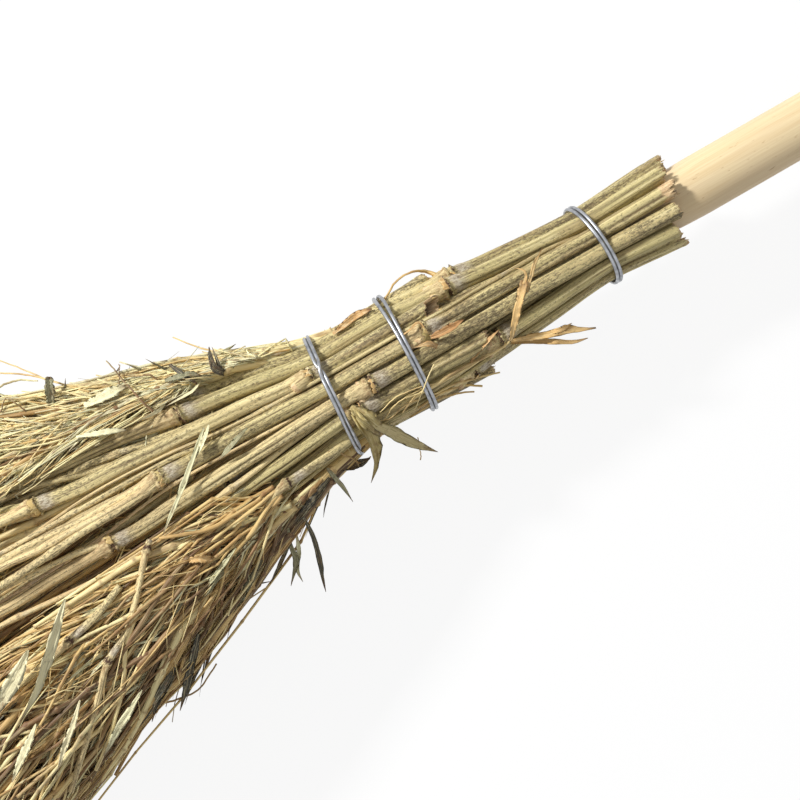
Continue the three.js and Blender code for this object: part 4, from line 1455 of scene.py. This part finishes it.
# Name, seed, count, reaches, angles, lengths, half widths, heading, lift, sunk, middle tone, its spread
LEAF_LITTER = [
    ("left_leaves", 501, 3200, (150, 680), (2, 58), (8, 34), (0.3, 1.1), 0.4, 1.2, 1.5, 0.44, 0.13),
    ("left_blades", 511, 130, (180, 660), (8, 50), (26, 54), (1.0, 2.0), 0.22, 2.0, 2, 0.44, 0.1),
    ("right_leaves", 502, 900, (160, 680), (122, 178), (8, 30), (0.4, 1.1), 0.34, 1.2, 2, 0.58, 0.24),
    ("right_blades", 512, 90, (190, 660), (124, 176), (26, 60), (1.0, 2.0), 0.24, 2.0, 2, 0.5, 0.16),
    ("lower_leaves", 503, 1000, (170, 680), (-176, -4), (10, 40), (0.5, 1.5), 0.3, 1.0, 3, 0.5, 0.25),
    ("edge_leaves", 504, 170, (150, 660), (164, 198), (12, 32), (0.6, 1.6), 0.4, 3.0, 3, 0.12, 0.12),
    ("left_edge_leaves", 505, 200, (170, 660), (-14, 20), (12, 30), (0.5, 1.4), 0.5, 4.0, 2, 0.22, 0.16),
]
# Name, seed, count, reaches, angles, lengths, radii, heading, lift, sunk
STRAW_LITTER = [
    ("left_straws", 521, 3000, (150, 680), (0, 58), (16, 70), (0.28, 0.62), 0.36, 2.0, 1.0),
    ("right_straws", 522, 520, (160, 680), (120, 182), (16, 60), (0.3, 0.8), 0.36, 1.5, 2),
    ("lower_straws", 523, 900, (170, 680), (-178, -2), (18, 60), (0.25, 0.55), 0.3, 2.0, 4),
    ("edge_straws", 524, 120, (150, 640), (164, 200), (20, 50), (0.25, 0.55), 0.3, 2.5, 2),
    ("left_edge_straws", 525, 150, (170, 640), (-10, 18), (20, 60), (0.22, 0.5), 0.4, 3.5, 1),
]
# Name, seed, side of y, count, lengths, half widths, spread of direction, lifts, middle tone, its spread
COVER_LEAVES = [
    ("left_cover_leaves", 541, 1, 800, (6, 26), (0.3, 1.3), 0.6, (0, 3.4), 0.5, 0.14),
    ("right_cover_leaves", 542, -1, 300, (10, 40), (0.4, 1.6), 0.3, (2, 7), 0.4, 0.13),
]


def build_litter():
    """Dry leaves, bits of leaf and short straws that lie matted on the brush."""
    for name, seed, count, reaches, angles, lengths, widths, *lie, middle, spread in LEAF_LITTER:
        rng = np.random.default_rng(seed)
        length = rng.uniform(*lengths, count)
        path, face = skin_path(rng, count, reaches, angles, length, LEAF_STATIONS, *lie)
        face = face + rng.normal(0, 0.45, (count, 1, 3))
        build_leaves(rng, name, path, face, widths, middle, spread, 1.1)
    for name, seed, count, reaches, angles, lengths, radii, *lie in STRAW_LITTER:
        rng = np.random.default_rng(seed)
        length = rng.uniform(*lengths, count)
        path, _ = skin_path(rng, count, reaches, angles, length, STRAW_STATIONS, *lie)
        radius = rng.uniform(*radii, (count, 1)) * np.linspace(1, 0.6, STRAW_STATIONS)[None]
        rings, grain = tubes(path, radius, STRAW_SIDES)
        surface = Surface()
        tone = twig_tone(rng, path[:, 3, 1] * 1.6) + 0.06
        surface.add(keep_in(rings), grain=grain + apart(rng, count), tone=tone, node=0.0)
        surface.build(name, TWIG, "head", "twig_bamboo")


def build_cover_leaves():
    """Dry leaves that lie loosely over the canes."""
    for name, seed, side, count, lengths, widths, spread, lifts, middle, varied in COVER_LEAVES:
        rng = np.random.default_rng(seed)
        path = over_canes(rng, side, count, lengths, spread, lifts, LEAF_STATIONS)
        face = np.array([0.0, side * 0.3, 1.0]) + rng.normal(0, 0.4, (count, 1, 3))
        face = face + np.zeros((1, LEAF_STATIONS, 1))
        build_leaves(rng, name, path, face, widths, middle, varied, 1.0)


HUSK_STATIONS = 12
FIBRES = 4
FIBRE_STATIONS = 5


def build_husks():
    """Torn, papery sheaths at the canes' nodes: a ragged collar that opens towards the twigs."""
    rng = np.random.default_rng(143)
    surface = Surface()
    profile = (LEAF_ACROSS + 1) / 2
    for name in CANE_NAMES:
        for scar in cane_facts[name][1]:
            y, z, radius = cane_spot(name, scar + 1.0)
            outward = math.atan2(z, y)
            for _ in range(rng.integers(1, 3)):
                middle = outward + rng.normal(0, 1.1)
                angles = middle + np.linspace(-0.5, 0.5, HUSK_STATIONS) * rng.uniform(0.7, 2.2)
                longest = rng.uniform(2, 4.5) if rng.uniform() < 0.9 else rng.uniform(7, 13)
                length = longest * rng.uniform(0.35, 1.0, HUSK_STATIONS)
                length[[0, -1]] *= 0.4
                flare = rng.uniform(0.1, 0.35) * length
                near, far = radius * 1.1 + 0.5, radius * 1.16 + 0.65 + flare
                out = near + (far[:, None] - near) * profile[None] ** 1.4 + LEAF_THICKNESS * 1.3 * LEAF_FACE
                along = length[:, None] * profile[None]
                rings = np.zeros((1, HUSK_STATIONS, len(profile), 3))
                rings[0, :, :, 0] = -(scar - 0.3 + along)
                rings[0, :, :, 1] = y + out * np.cos(angles[:, None])
                rings[0, :, :, 2] = z + out * np.sin(angles[:, None])
                grain = np.zeros(rings.shape)
                grain[0, :, :, 0] = along
                grain[0, :, :, 1] = angles[:, None] * radius
                surface.add(
                    rings,
                    grain=grain * MM + apart(rng, 1),
                    tone=np.clip(rng.normal(0.76, 0.08), 0, 1),
                    side=1.0,
                    along=profile[None, None] * 0.9,
                )
    surface.build("node_husks", LEAF, "head", "twig_bamboo")


def build_splinters():
    """Torn fibres at the canes' cut ends."""
    rng = np.random.default_rng(151)
    surface = Surface()
    share = np.linspace(0, 1, FIBRE_STATIONS)
    for name in CANE_NAMES:
        start = cane_facts[name][2]
        y, z, radius = cane_spot(name, start + 1.0)
        angles = rng.uniform(0, 2 * np.pi, FIBRES)
        length = rng.uniform(1.2, 3.2, FIBRES)
        flare = rng.uniform(-0.4, 0.5, FIBRES)[:, None] * share[None] ** 2 * length[:, None] * 0.6
        spread = radius * 0.9 + flare
        path = np.zeros((FIBRES, FIBRE_STATIONS, 3))
        path[:, :, 0] = -start - 3.0 + slant_at(start, y) + length[:, None] * share[None]
        path[:, :, 1] = y + spread * np.cos(angles)[:, None]
        path[:, :, 2] = z + spread * np.sin(angles)[:, None]
        rings, grain = tubes(path, rng.uniform(0.25, 0.6, (FIBRES, 1)) * (1.1 - share)[None], STRAW_SIDES)
        surface.add(rings, grain=grain + apart(rng, FIBRES), tone=rng.uniform(0.2, 0.7, FIBRES), node=0.0)
    surface.build("cut_end_fibres", TWIG, "head", "twig_bamboo")


build_branches()
build_litter()
build_cover_leaves()
build_husks()
build_splinters()


# The loose leaves and straws that show in the picture
# Each entry: tone, how blunt, how folded, and rows of a pixel's x and y in the picture, how far the
# place stands off what lies under it, and half the width there
LOOSE_BLADES = {
    "upright_blade": (0.84, 0.5, 0.5, [
        (510.5, 340.5, 2, 0.7), (514, 325, 4, 1.5), (518, 308, 6, 1.7), (522, 292, 7, 2.1),
        (525, 281, 8, 1.6)]),
    "upright_curl": (0.86, 0.3, 0.2, [
        (524, 284, 8, 0.8), (526, 276, 9, 0.6), (523, 270, 10, 0.5), (514, 268, 10, 0.1)]),
    "upright_point": (0.84, 0.2, 0.3, [
        (526, 292, 7, 1.0), (531, 276, 9, 0.8), (535, 262, 10, 1.0), (542.4, 247.7, 11, 0.1)]),
    "torn_blade": (0.84, 1.0, 0.2, [
        (511, 341, 2, 0.6), (528, 338, 4, 1.6), (548, 335, 6, 2.0), (568, 330, 8, 2.6), (580, 330, 8, 1.4),
        (596, 328, 8, 0.7)]),
    "torn_blade_spur": (0.86, 0.4, 0.3, [(552, 332, 6, 1.0), (562, 329, 8, 1.3), (572, 323, 9, 0.1)]),
    "lower_torn_blade": (0.86, 0.3, 0.5, [
        (511, 343, 1, 0.6), (535, 341.5, 3, 1.3), (558, 342, 5, 1.3), (574, 342, 5, 1.0),
        (588, 338, 6, 0.15)]),
    "stalk_leaf": (0.93, 0.3, 0.6, [
        (471, 362, 1, 0.5), (480, 350, 3, 1.1), (490, 339, 4, 1.3), (499.5, 329.5, 5, 0.1)]),
    "node_sheath": (0.97, 0.5, 0.9, [
        (431, 338, 0.5, 0.8), (441, 334, 2, 1.8), (452, 328, 3, 1.9), (459, 323, 3, 1.1),
        (464, 319.6, 4, 0.1)]),
    "node_peel": (0.9, 0.2, 0.6, [
        (424, 329, 1, 0.9), (418, 323, 3, 0.8), (409, 331, 3, 0.5), (400, 337, 1, 0.1)]),
    "lower_node_peel": (0.93, 0.2, 0.6, [(437, 347, 1, 1.1), (428, 344, 3, 1.4), (413.5, 348, 3, 0.1)]),
    "hanging_leaf": (0.7, 0.25, 0.7, [
        (354, 414, 2, 1.6), (361, 424, 6, 3.0), (369, 438, 8, 3.4), (374, 452, 5, 2.8), (375, 465, 1, 1.3),
        (371, 483, -4, 0.1)]),
    "hanging_leaf_fold": (0.7, 0.6, 0.5, [
        (350, 408, 1, 1.6), (358, 414, 3, 3.2), (366, 420, 5, 4.2), (374, 427, 6, 3.6), (380, 433, 6, 0.8)]),
    "side_leaf": (0.66, 0.25, 0.6, [
        (370, 424, 5, 1.5), (384, 429, 7, 2.7), (398, 436, 6, 3.2), (412, 443, 3, 2.6), (426, 448, 0, 1.3),
        (438, 452, -2, 0.1)]),
    "dark_leaf": (0.0, 0.3, 0.7, [
        (340, 470, -2, 0.8), (352, 467, 0, 1.9), (362, 463, 1, 1.8), (370, 458, 1, 0.4)]),
    "root_husk": (0.93, 0.5, 0.6, [
        (333, 334, 0.5, 0.8), (345, 325, 0.7, 1.6), (355, 317, 0.9, 2.0), (365, 312, 0.9, 1.4),
        (372, 309, 0.5, 0.4)]),
    "curled_dark_leaf": (0.02, 0.3, 0.9, [
        (224, 373, -1, 1.6), (215, 369, 3, 1.9), (211, 360, 7, 1.1), (209, 347, 10, 0.2)]),
    "curled_dark_tip": (0.04, 0.2, 0.5, [(220, 371, 1, 0.9), (217, 360, 6, 0.7), (212, 347, 10, 0.1)]),
    "dark_scrap": (0.06, 0.6, 0.5, [
        (169.5, 364.5, 5, 0.7), (178, 371, 4, 1.2), (188, 378, 3, 1.2), (197, 384, 2, 0.4)]),
    "brown_scrap": (0.2, 0.4, 0.8, [
        (165, 381, 2, 0.7), (178, 378, 4, 1.5), (190, 375, 4, 1.6), (201, 376, 2, 0.4)]),
    "upright_scrap": (0.22, 1.0, 0.3, [
        (50.5, 403, 1, 1.7), (50, 394, 4, 2.2), (49, 386, 7, 2.3), (49, 377, 9, 1.3)]),
    "pale_left_blade": (0.5, 0.3, 0.4, [
        (84, 406, 2, 1.0), (98, 400, 3, 2.4), (112, 393, 3, 2.8), (126, 386, 2, 0.8)]),
    "left_blade": (0.46, 0.3, 0.4, [
        (76, 437, 2, 0.5), (95, 434, 3, 1.4), (112, 431, 3, 1.5), (127, 430, 2, 0.3)]),
    "long_straw_blade": (0.42, 0.3, 0.6, [
        (209, 425, 2, 0.4), (206, 436, 3, 1.1), (201, 448, 3, 1.2), (196, 458, 2, 0.3)]),
    "between_leaf": (0.24, 0.3, 0.6, [
        (247, 428, 1, 0.4), (238, 438, 2, 1.1), (229, 449, 2, 1.4), (219, 460, 1, 0.3)]),
    "brush_blade": (0.5, 0.3, 0.4, [
        (65, 599, 8, 0.4), (58, 622, 9, 2.0), (48, 655, 9, 2.4), (36, 690, 8, 1.8), (20, 721, 7, 0.2)]),
    "brush_corner_blade": (0.52, 0.3, 0.4, [
        (28, 650, 8, 0.6), (20, 668, 9, 2.6), (8, 690, 9, 3.4), (-6, 712, 8, 2.0)]),
    "small_blade": (0.56, 0.3, 0.4, [
        (80, 700, 8, 0.3), (74, 722, 9, 1.3), (64, 748, 8, 1.4), (58, 770, 7, 0.2)]),
    "short_blade": (0.48, 0.3, 0.4, [
        (36, 724, 8, 0.3), (30, 740, 9, 1.6), (20, 762, 8, 1.7), (12, 782, 7, 0.2)]),
    "dangling_leaf_a": (0.22, 0.3, 0.7, [
        (288, 528, 0, 0.5), (290, 545, -3, 1.1), (296, 562, -5, 1.4), (291, 586, -8, 0.1)]),
    "dangling_leaf_b": (0.1, 0.3, 0.7, [
        (302, 515, 0, 0.5), (312, 532, -3, 1.1), (320, 556, -6, 1.4), (323, 575, -8, 1.1),
        (326, 592, -9, 0.1)]),
    "dangling_leaf_c": (0.14, 0.3, 0.7, [
        (292, 540, -2, 0.5), (284, 556, -4, 1.0), (277, 572, -6, 0.9), (270, 584, -7, 0.1)]),
    "dangling_leaf_d": (0.4, 0.3, 0.7, [
        (296, 532, -1, 0.4), (299, 552, -4, 1.2), (298, 570, -6, 1.0), (303, 582, -8, 0.1)]),
    "dark_edge_leaf_a": (0.04, 0.3, 0.6, [
        (199, 634, 4, 0.8), (194, 656, 3, 1.9), (187, 684, 1, 1.8), (180, 711, -2, 0.1)]),
    "dark_edge_leaf_b": (0.06, 0.3, 0.6, [
        (172, 672, 4, 0.8), (160, 692, 4, 1.8), (148, 712, 2, 1.9), (134, 733, -1, 0.1)]),
    "dark_edge_leaf_c": (0.05, 0.3, 0.6, [
        (176, 664, 3, 0.6), (170, 682, 3, 1.4), (158, 702, 2, 1.3), (152, 722, -1, 0.1)]),
    "grey_edge_leaf": (0.16, 0.3, 0.6, [
        (262, 560, 2, 0.6), (252, 578, 2, 1.6), (240, 600, 1, 1.8), (226, 622, 0, 0.2)]),
    "dark_root_leaf": (0.02, 0.3, 0.5, [
        (330, 478, 1, 0.8), (318, 494, 1, 2.0), (304, 512, 1, 1.9), (290, 530, 0, 0.3)]),
    "long_grey_blade": (0.36, 0.1, 0.5, [
        (204, 428, 1.5, 0.3), (198, 445, 2.5, 1.0), (190, 468, 3, 1.2), (181, 492, 3, 1.2),
        (172, 514, 3, 0.9), (163, 535, 2, 0.2)]),
    "curled_peel": (0.88, 0.6, 0.9, [
        (188, 561, 5, 0.7), (196, 559, 7, 1.6), (205, 558, 7, 1.7), (212, 557, 5, 0.5)]),
    "small_grey_blade": (0.3, 0.3, 0.6, [
        (236, 548, 6, 0.3), (226, 562, 7, 1.1), (214, 578, 6, 1.0), (204, 592, 4, 0.2)]),
    "mid_grey_blade": (0.42, 0.3, 0.6, [
        (142, 690, 6, 0.3), (130, 710, 7, 1.6), (116, 732, 6, 1.8), (104, 756, 4, 0.3)]),
    "stub_tongue": (0.24, 0.2, 0.4, [
        (327, 468, 0, 0.7), (335, 478, -1, 1.2), (344, 489, -3, 1.0), (353, 502, -4, 0.1)]),
}
# Each entry: tone, and rows as above but with the radius last
LOOSE_STRAWS = {
    "golden_stalk": (0.5, [
        (510, 342, 2, 0.6), (498, 350, 2, 0.55), (487, 356, 2, 0.6), (471, 364, 1.5, 0.85),
        (453, 373, 1.5, 0.7), (436, 384, 1.5, 0.8), (416, 397, 1, 0.6), (402, 413, 0.5, 0.3)]),
    "golden_stalk_b": (0.55, [
        (488, 354, 1.6, 0.4), (468, 368, 2.4, 0.4), (446, 380, 2, 0.45), (424, 392, 1.5, 0.4),
        (405, 398, 1, 0.3)]),
    "fine_straw_a": (0.6, [
        (434, 364, 1.5, 0.3), (427, 380, 2.5, 0.3), (421, 395, 2.5, 0.3), (415, 409, 0.5, 0.2)]),
    "fine_straw_b": (0.5, [
        (428, 385, 1.5, 0.3), (412, 394, 2, 0.35), (396, 404, 2, 0.3), (384, 420, 0.5, 0.2)]),
    "fine_straw_c": (0.45, [
        (418, 400, 1.5, 0.35), (404, 406, 2, 0.35), (392, 417, 2, 0.3), (378, 422, 0.5, 0.2)]),
    "fine_straw_d": (0.5, [(440, 382, 1, 0.3), (418, 388, 2, 0.3), (398, 396, 2, 0.3), (380, 412, 0.5, 0.2)]),
    "root_straw_a": (0.4, [(482, 386, 0, 0.5), (462, 386, 1, 0.6), (440, 394, 1, 0.6), (418, 408, 0.5, 0.5)]),
    "root_straw_b": (0.34, [
        (474, 392, -1, 0.4), (455, 394, 0.5, 0.5), (434, 402, 0.5, 0.5), (410, 418, 0.5, 0.4)]),
    "root_straw_c": (0.5, [
        (500, 372, 0, 0.4), (478, 378, 1, 0.45), (456, 384, 1.5, 0.5), (430, 396, 0.5, 0.4)]),
    "arch": (0.3, [
        (384, 300, -1, 0.5), (389, 292, 1, 0.5), (396, 282, 4, 0.5), (406, 274, 6, 0.5), (418, 271, 6, 0.6),
        (428, 272, 3, 0.9), (436, 275, 0, 1.1)]),
    "hook": (0.2, [
        (328, 452, 0.5, 0.4), (338, 452, 1, 0.4), (349, 457, 1, 0.4), (361, 463, 0.5, 0.4),
        (371, 457, 0, 0.3)]),
    "hanging_thread": (0.3, [(418, 437, -3, 0.25), (420, 448, -4, 0.2), (421, 460, -5, 0.3)]),
    "branch_of_stub": (0.36, [
        (284, 487, 4, 1.1), (268, 508, 4.5, 1.0), (250, 534, 4.5, 1.1), (226, 562, 4, 0.9),
        (208, 584, 3, 0.8), (190, 606, 1, 0.6)]),
    "second_branch": (0.44, [
        (280, 488, 4, 0.9), (256, 507, 5, 0.9), (232, 525, 5, 0.8), (204, 548, 4, 0.8), (180, 574, 3, 0.7)]),
    "crossed_stalk": (0.3, [
        (262, 498, 4, 0.9), (236, 514, 5, 1.0), (212, 528, 6, 1.0), (176, 536, 5, 0.8), (160, 538, 3, 0.7)]),
    "knuckled_brown": (0.16, [
        (198, 600, 4, 1.0), (166, 634, 5, 1.1), (141, 664, 5, 1.7), (138, 668, 5, 1.1), (118, 704, 4, 1.1),
        (96, 748, 2, 0.9)]),
    "forked_stalk": (0.6, [
        (142, 604, 5, 1.0), (140, 609, 5, 1.9), (137, 614, 5, 1.1), (126, 648, 5, 1.1), (122, 690, 5, 1.0),
        (112, 730, 4, 0.9), (96, 770, 3, 0.8)]),
    "edge_stalk": (0.34, [
        (233, 560, 2, 0.9), (215, 592, 2, 1.0), (196, 622, 2, 1.2), (172, 660, 2, 1.2), (146, 706, 1, 1.0)]),
    "brown_stalk": (0.1, [
        (188, 556, 5, 1.1), (166, 586, 6, 1.2), (142, 622, 6, 1.2), (116, 664, 5, 1.0), (88, 716, 4, 0.9)]),
    "crossing_straw": (0.92, [
        (300, 480, 1.5, 0.5), (286, 500, 2, 0.45), (272, 520, 2, 0.4), (258, 540, 1, 0.3)]),
    "wisp_a": (0.5, [
        (-4, 359, 2, 0.3), (27, 371, 3, 0.35), (54, 382, 3, 0.4), (84, 387, 2, 0.4), (112, 386, 1, 0.4)]),
    "wisp_b": (0.42, [
        (-4, 373, 2, 0.35), (20, 374, 3, 0.4), (42, 378, 3, 0.4), (66, 385, 2, 0.4), (90, 392, 1, 0.4)]),
    "wisp_c": (0.9, [(-4, 389, 2, 0.45), (8, 383, 3, 0.5), (20, 380, 3, 0.45), (38, 381, 2, 0.3)]),
    "wisp_d": (0.1, [(0, 413, 1, 0.3), (6, 398, 4, 0.3), (14, 402, 5, 0.3), (26, 412, 1, 0.3)]),
    "dark_wisp_a": (0.05, [(106.7, 361, 7, 0.3), (123, 380, 5, 0.4), (138, 397, 3, 0.5), (153, 412, 1, 0.5)]),
    "dark_wisp_b": (0.1, [(119, 364.5, 6, 0.2), (119.5, 372, 5, 0.25), (119, 386, 2, 0.3)]),
    "dark_wisp_c": (0.12, [(128, 376, 3, 0.25), (142, 376, 4, 0.3), (150, 375, 4, 0.5), (158, 380, 1, 0.4)]),
    "edge_twig": (0.2, [
        (245, 578, -1, 0.6), (241, 597, -2, 0.6), (236, 615, -3, 0.75), (226, 632, -4, 0.6),
        (208, 655, -4, 0.6), (191, 677, -4, 0.7), (169, 698, -4, 0.6), (147, 721, -4, 0.65),
        (130, 750, -4, 0.6), (116, 775, -3, 0.9)]),
    "edge_twig_branch": (0.25, [
        (236, 612, -3, 0.5), (229, 600, -2, 0.4), (222, 590, -1, 0.4), (214, 584, 0, 0.4)]),
    "edge_loop": (0.2, [(216, 664, -3, 0.4), (200, 688, -4, 0.4), (176, 700, -4, 0.45), (156, 704, -2, 0.4)]),
}
# Thin canes, with a knuckle where a row is much thicker than its neighbours. Each entry: tone,
# mottling, and rows as above
LOOSE_CANES = {
    "knuckled_stub": (0.5, 0.7, [
        (354, 437, -1.5, 1.8), (330, 455, 0.5, 2.0), (306, 471, 2, 2.1), (291, 481, 3, 2.1),
        (286, 484, 3.5, 2.8), (282, 487, 4, 2.0), (274, 496, 4, 1.1), (262, 514, 3, 0.9)]),
    "knuckled_stalk": (0.7, 0.4, [
        (150, 540, 3, 1.3), (148, 546, 4, 1.5), (147, 551, 4.5, 2.3), (145, 556, 4.5, 1.6),
        (138, 590, 5, 1.5), (128, 628, 5, 1.5), (112, 655, 6, 1.6), (107, 663, 6, 2.3), (105, 669, 6, 1.6),
        (98, 700, 5, 1.5), (84, 748, 4, 1.4), (71, 792, 3, 1.2)]),
    "knuckled_branch": (0.6, 0.6, [
        (120, 586, 4, 1.6), (96, 616, 5, 1.7), (72, 638, 5, 1.8), (68, 642, 5, 2.6), (64, 646, 5, 1.8),
        (40, 668, 5, 1.7), (8, 694, 4, 1.6)]),
}
LOOSE_STATIONS = 16
STALK_STATIONS = 60
LOOSE_CANE_STATIONS = 120
LOOSE_CANE_SIDES = 18
STALK_SIDES = 10
STALK_UNEVEN = 0.22
BLUNT = 0.9


def resting(px, py, lift):
    """The place that shows at a pixel and stands a lift over the broom's upper side."""
    height = 20.0
    for _ in range(5):
        x, y, _ = seen(px, py, height)
        height = float(surface_height(-x, y))
    return seen(px, py, height + lift)


def through(rows, stations):
    """A smooth path through the rows, their last value along it, and how far along it each row is."""
    places = np.array([resting(*row[:3]) for row in rows])
    path, marks = stepped(rounded(places, 0.4), stations)
    chords = travelled(places)
    row_at = marks[-1] * chords / chords[-1]
    return path, np.interp(marks, row_at, [row[3] for row in rows]), row_at


def build_loose_leaves(rng):
    """The leaves that catch the eye in the picture."""
    surface = Surface()
    for tone, blunt, fold, rows in LOOSE_BLADES.values():
        path, half, _ = through(rows, LOOSE_STATIONS)
        half = half * (1 + 0.1 * smooth_noise(rng, np.arange(LOOSE_STATIONS) * 6.0, 40))
        half = half * rng.uniform(0.78 + 0.14 * (blunt < BLUNT), 1.08, LOOSE_STATIONS)
        if blunt > BLUNT:
            half[-1] *= 0.7
        half = np.maximum(half, 0.06)[None]
        face = np.array([0.2, 0.15, 1.0]) + rng.normal(0, 0.12, 3)
        face = np.broadcast_to(face, (1, LOOSE_STATIONS, 3))
        twist = rng.uniform(-0.7, 0.7, 1)
        curl = rng.uniform(-0.3, 0.3, 1)
        add_blades(surface, rng, path[None], face, half, np.array([tone]), np.array([fold]), curl, twist)
    surface.build("loose_leaves", LEAF, "head", "twig_bamboo")


def build_loose_straws(rng):
    """The stalks and straws that catch the eye in the picture."""
    surface = Surface()
    for tone, rows in LOOSE_STRAWS.values():
        path, radius, _ = through(rows, STALK_STATIONS)
        marks = np.arange(STALK_STATIONS) * 1.0
        crooked = np.stack([smooth_noise(rng, marks, 26) for _ in range(3)], axis=1)
        path = path + STALK_UNEVEN * crooked
        radius = radius * (1 + 0.05 * smooth_noise(rng, marks, 9))
        around = np.convolve(np.pad(radius, 4, "edge"), np.ones(9) / 9, "valid")
        knuckle = np.clip((radius / around - 1.06) * 8, 0, 1)
        rings, grain = tubes(path[None], radius[None], STALK_SIDES)
        surface.add(rings, grain=grain + apart(rng, 1), tone=tone, node=knuckle[None])
    surface.build("loose_straws", TWIG, "head", "twig_bamboo")


CANE_KNUCKLE = 1.15
KNUCKLE_SHIFT = 2.4  # from a node's middle to where it is thickest


def build_loose_canes():
    """Thin canes that lie over the others and end in a knuckle among the twigs."""
    rng = np.random.default_rng(181)
    surface = Surface()
    for tone, mottle, rows in LOOSE_CANES.values():
        path, radius, row_at = through(rows, LOOSE_CANE_STATIONS)
        marks = np.linspace(0, row_at[-1], len(path))
        thick = np.array([row[3] for row in rows])
        knuckled = (thick[1:-1] > CANE_KNUCKLE * thick[:-2]) & (thick[1:-1] > CANE_KNUCKLE * thick[2:])
        knots = row_at[1:-1][knuckled]
        past = past_nearest(marks, knots) + KNUCKLE_SHIFT
        turn = circle(LOOSE_CANE_SIDES)[None]
        shape, groove = uneven_round(rng, marks, turn, np.searchsorted(knots, marks), past)
        rough = bump(past, KNUCKLE_SHIFT, 2.5)[:, None] * rng.uniform(-0.12, 0.12, shape.shape)
        radii = radius[:, None] * (0.4 + 0.6 * shape + rough)
        rings, grain = tubes(path[None], radii[None], LOOSE_CANE_SIDES)
        surface.add(
            rings,
            grain=grain + apart(rng, 1),
            tone=tone,
            mottle=mottle,
            groove=groove[None],
            node_at=past[None] * MM,
            near_node=1 - smoothstep(15, 20, np.abs(past))[None],
            cut=0.0,
            bore=0.0,
        )
    surface.build("loose_canes", CANE, "head", "cane_bamboo")


loose_rng = np.random.default_rng(171)
build_loose_leaves(loose_rng)
build_loose_straws(loose_rng)
build_loose_canes()


# Floor, light and background
FLOOR_SIDE = 16.0
FLOOR_WHITENING = 0.9
FLOOR_FADE = (0.9, 1.8)  # how far out, in metres, the floor turns into the white background
WORLD_LEVEL = 0.46
LAMP_POWER = 48.0
LAMP_SIDE = 0.2
LAMP_PLACE = (-1.45, 0.62, 1.15)  # from the middle of the view: right and up in the picture, and over it


def light_path_share(tree):
    """One where a ray from the camera, or through a reflection, meets the background."""
    rays = tree.nodes.new("ShaderNodeLightPath").outputs
    share = rays["Is Camera Ray"]
    for name in ("Is Glossy Ray", "Is Transmission Ray"):
        share = add_node(tree, "ShaderNodeMath", {0: share, 1: rays[name]}, operation="MAXIMUM")
    return share


def build_floor():
    """A white floor, which fades into the white background for the camera and in reflections."""
    half = FLOOR_SIDE / 2
    mesh = bpy.data.meshes.new("floor")
    corners = [(-half, -half, 0), (half, -half, 0), (half, half, 0), (-half, half, 0)]
    mesh.from_pydata(corners, [], [(0, 1, 2, 3)])
    floor = bpy.data.objects.new("floor", mesh)
    bpy.context.scene.collection.objects.link(floor)
    material = bpy.data.materials.new("floor_white")
    material.use_nodes = True
    tree = material.node_tree
    tree.nodes.clear()
    place = add_node(tree, "ShaderNodeTexCoord", {}, "Object")
    distance = add_node(tree, "ShaderNodeVectorMath", {0: place}, "Value", operation="LENGTH")
    low, high = FLOOR_FADE
    inputs = {"Value": distance, "From Min": low, "From Max": high, "To Min": FLOOR_WHITENING, "To Max": 1.0}
    faded = add_node(tree, "ShaderNodeMapRange", inputs, interpolation_type="SMOOTHSTEP")
    share = add_node(tree, "ShaderNodeMath", {0: light_path_share(tree), 1: faded}, operation="MULTIPLY")
    diffuse = add_node(tree, "ShaderNodeBsdfDiffuse", {"Color": (0.93, 0.93, 0.93, 1)})
    glow = add_node(tree, "ShaderNodeEmission", {"Color": (1, 1, 1, 1), "Strength": 1.0})
    blend = add_node(tree, "ShaderNodeMixShader", {0: share, 1: diffuse, 2: glow})
    put(tree, tree.nodes.new("ShaderNodeOutputMaterial").inputs["Surface"], blend)
    mesh.materials.append(material)


def build_world():
    """Even white light, which is brighter where the camera or a reflection looks straight at it."""
    world = bpy.data.worlds.new("world")
    bpy.context.scene.world = world
    world.use_nodes = True
    tree = world.node_tree
    background = tree.nodes["Background"]
    background.inputs["Color"].default_value = (1, 1, 1, 1)
    inputs = {"Value": light_path_share(tree), "To Min": WORLD_LEVEL, "To Max": 1.0}
    put(tree, background.inputs["Strength"], add_node(tree, "ShaderNodeMapRange", inputs))


def build_lamp():
    """One soft lamp, up and to the left of the picture, that shines on the middle of the view."""
    data = bpy.data.lights.new("key", "AREA")
    data.shape = "SQUARE"
    data.size = LAMP_SIDE
    data.energy = LAMP_POWER
    lamp = bpy.data.objects.new("key", data)
    bpy.context.scene.collection.objects.link(lamp)
    right, up, over = LAMP_PLACE
    target = to_world(VIEW_CENTRE)
    place = target + IMAGE_UP * up + IMAGE_RIGHT * right + np.array([0, 0, over])
    lamp.location = place
    lamp.rotation_euler = Vector(target - place).to_track_quat("-Z", "Y").to_euler()


build_floor()
build_world()
build_lamp()

bpy.context.scene.view_settings.view_transform = "Standard"
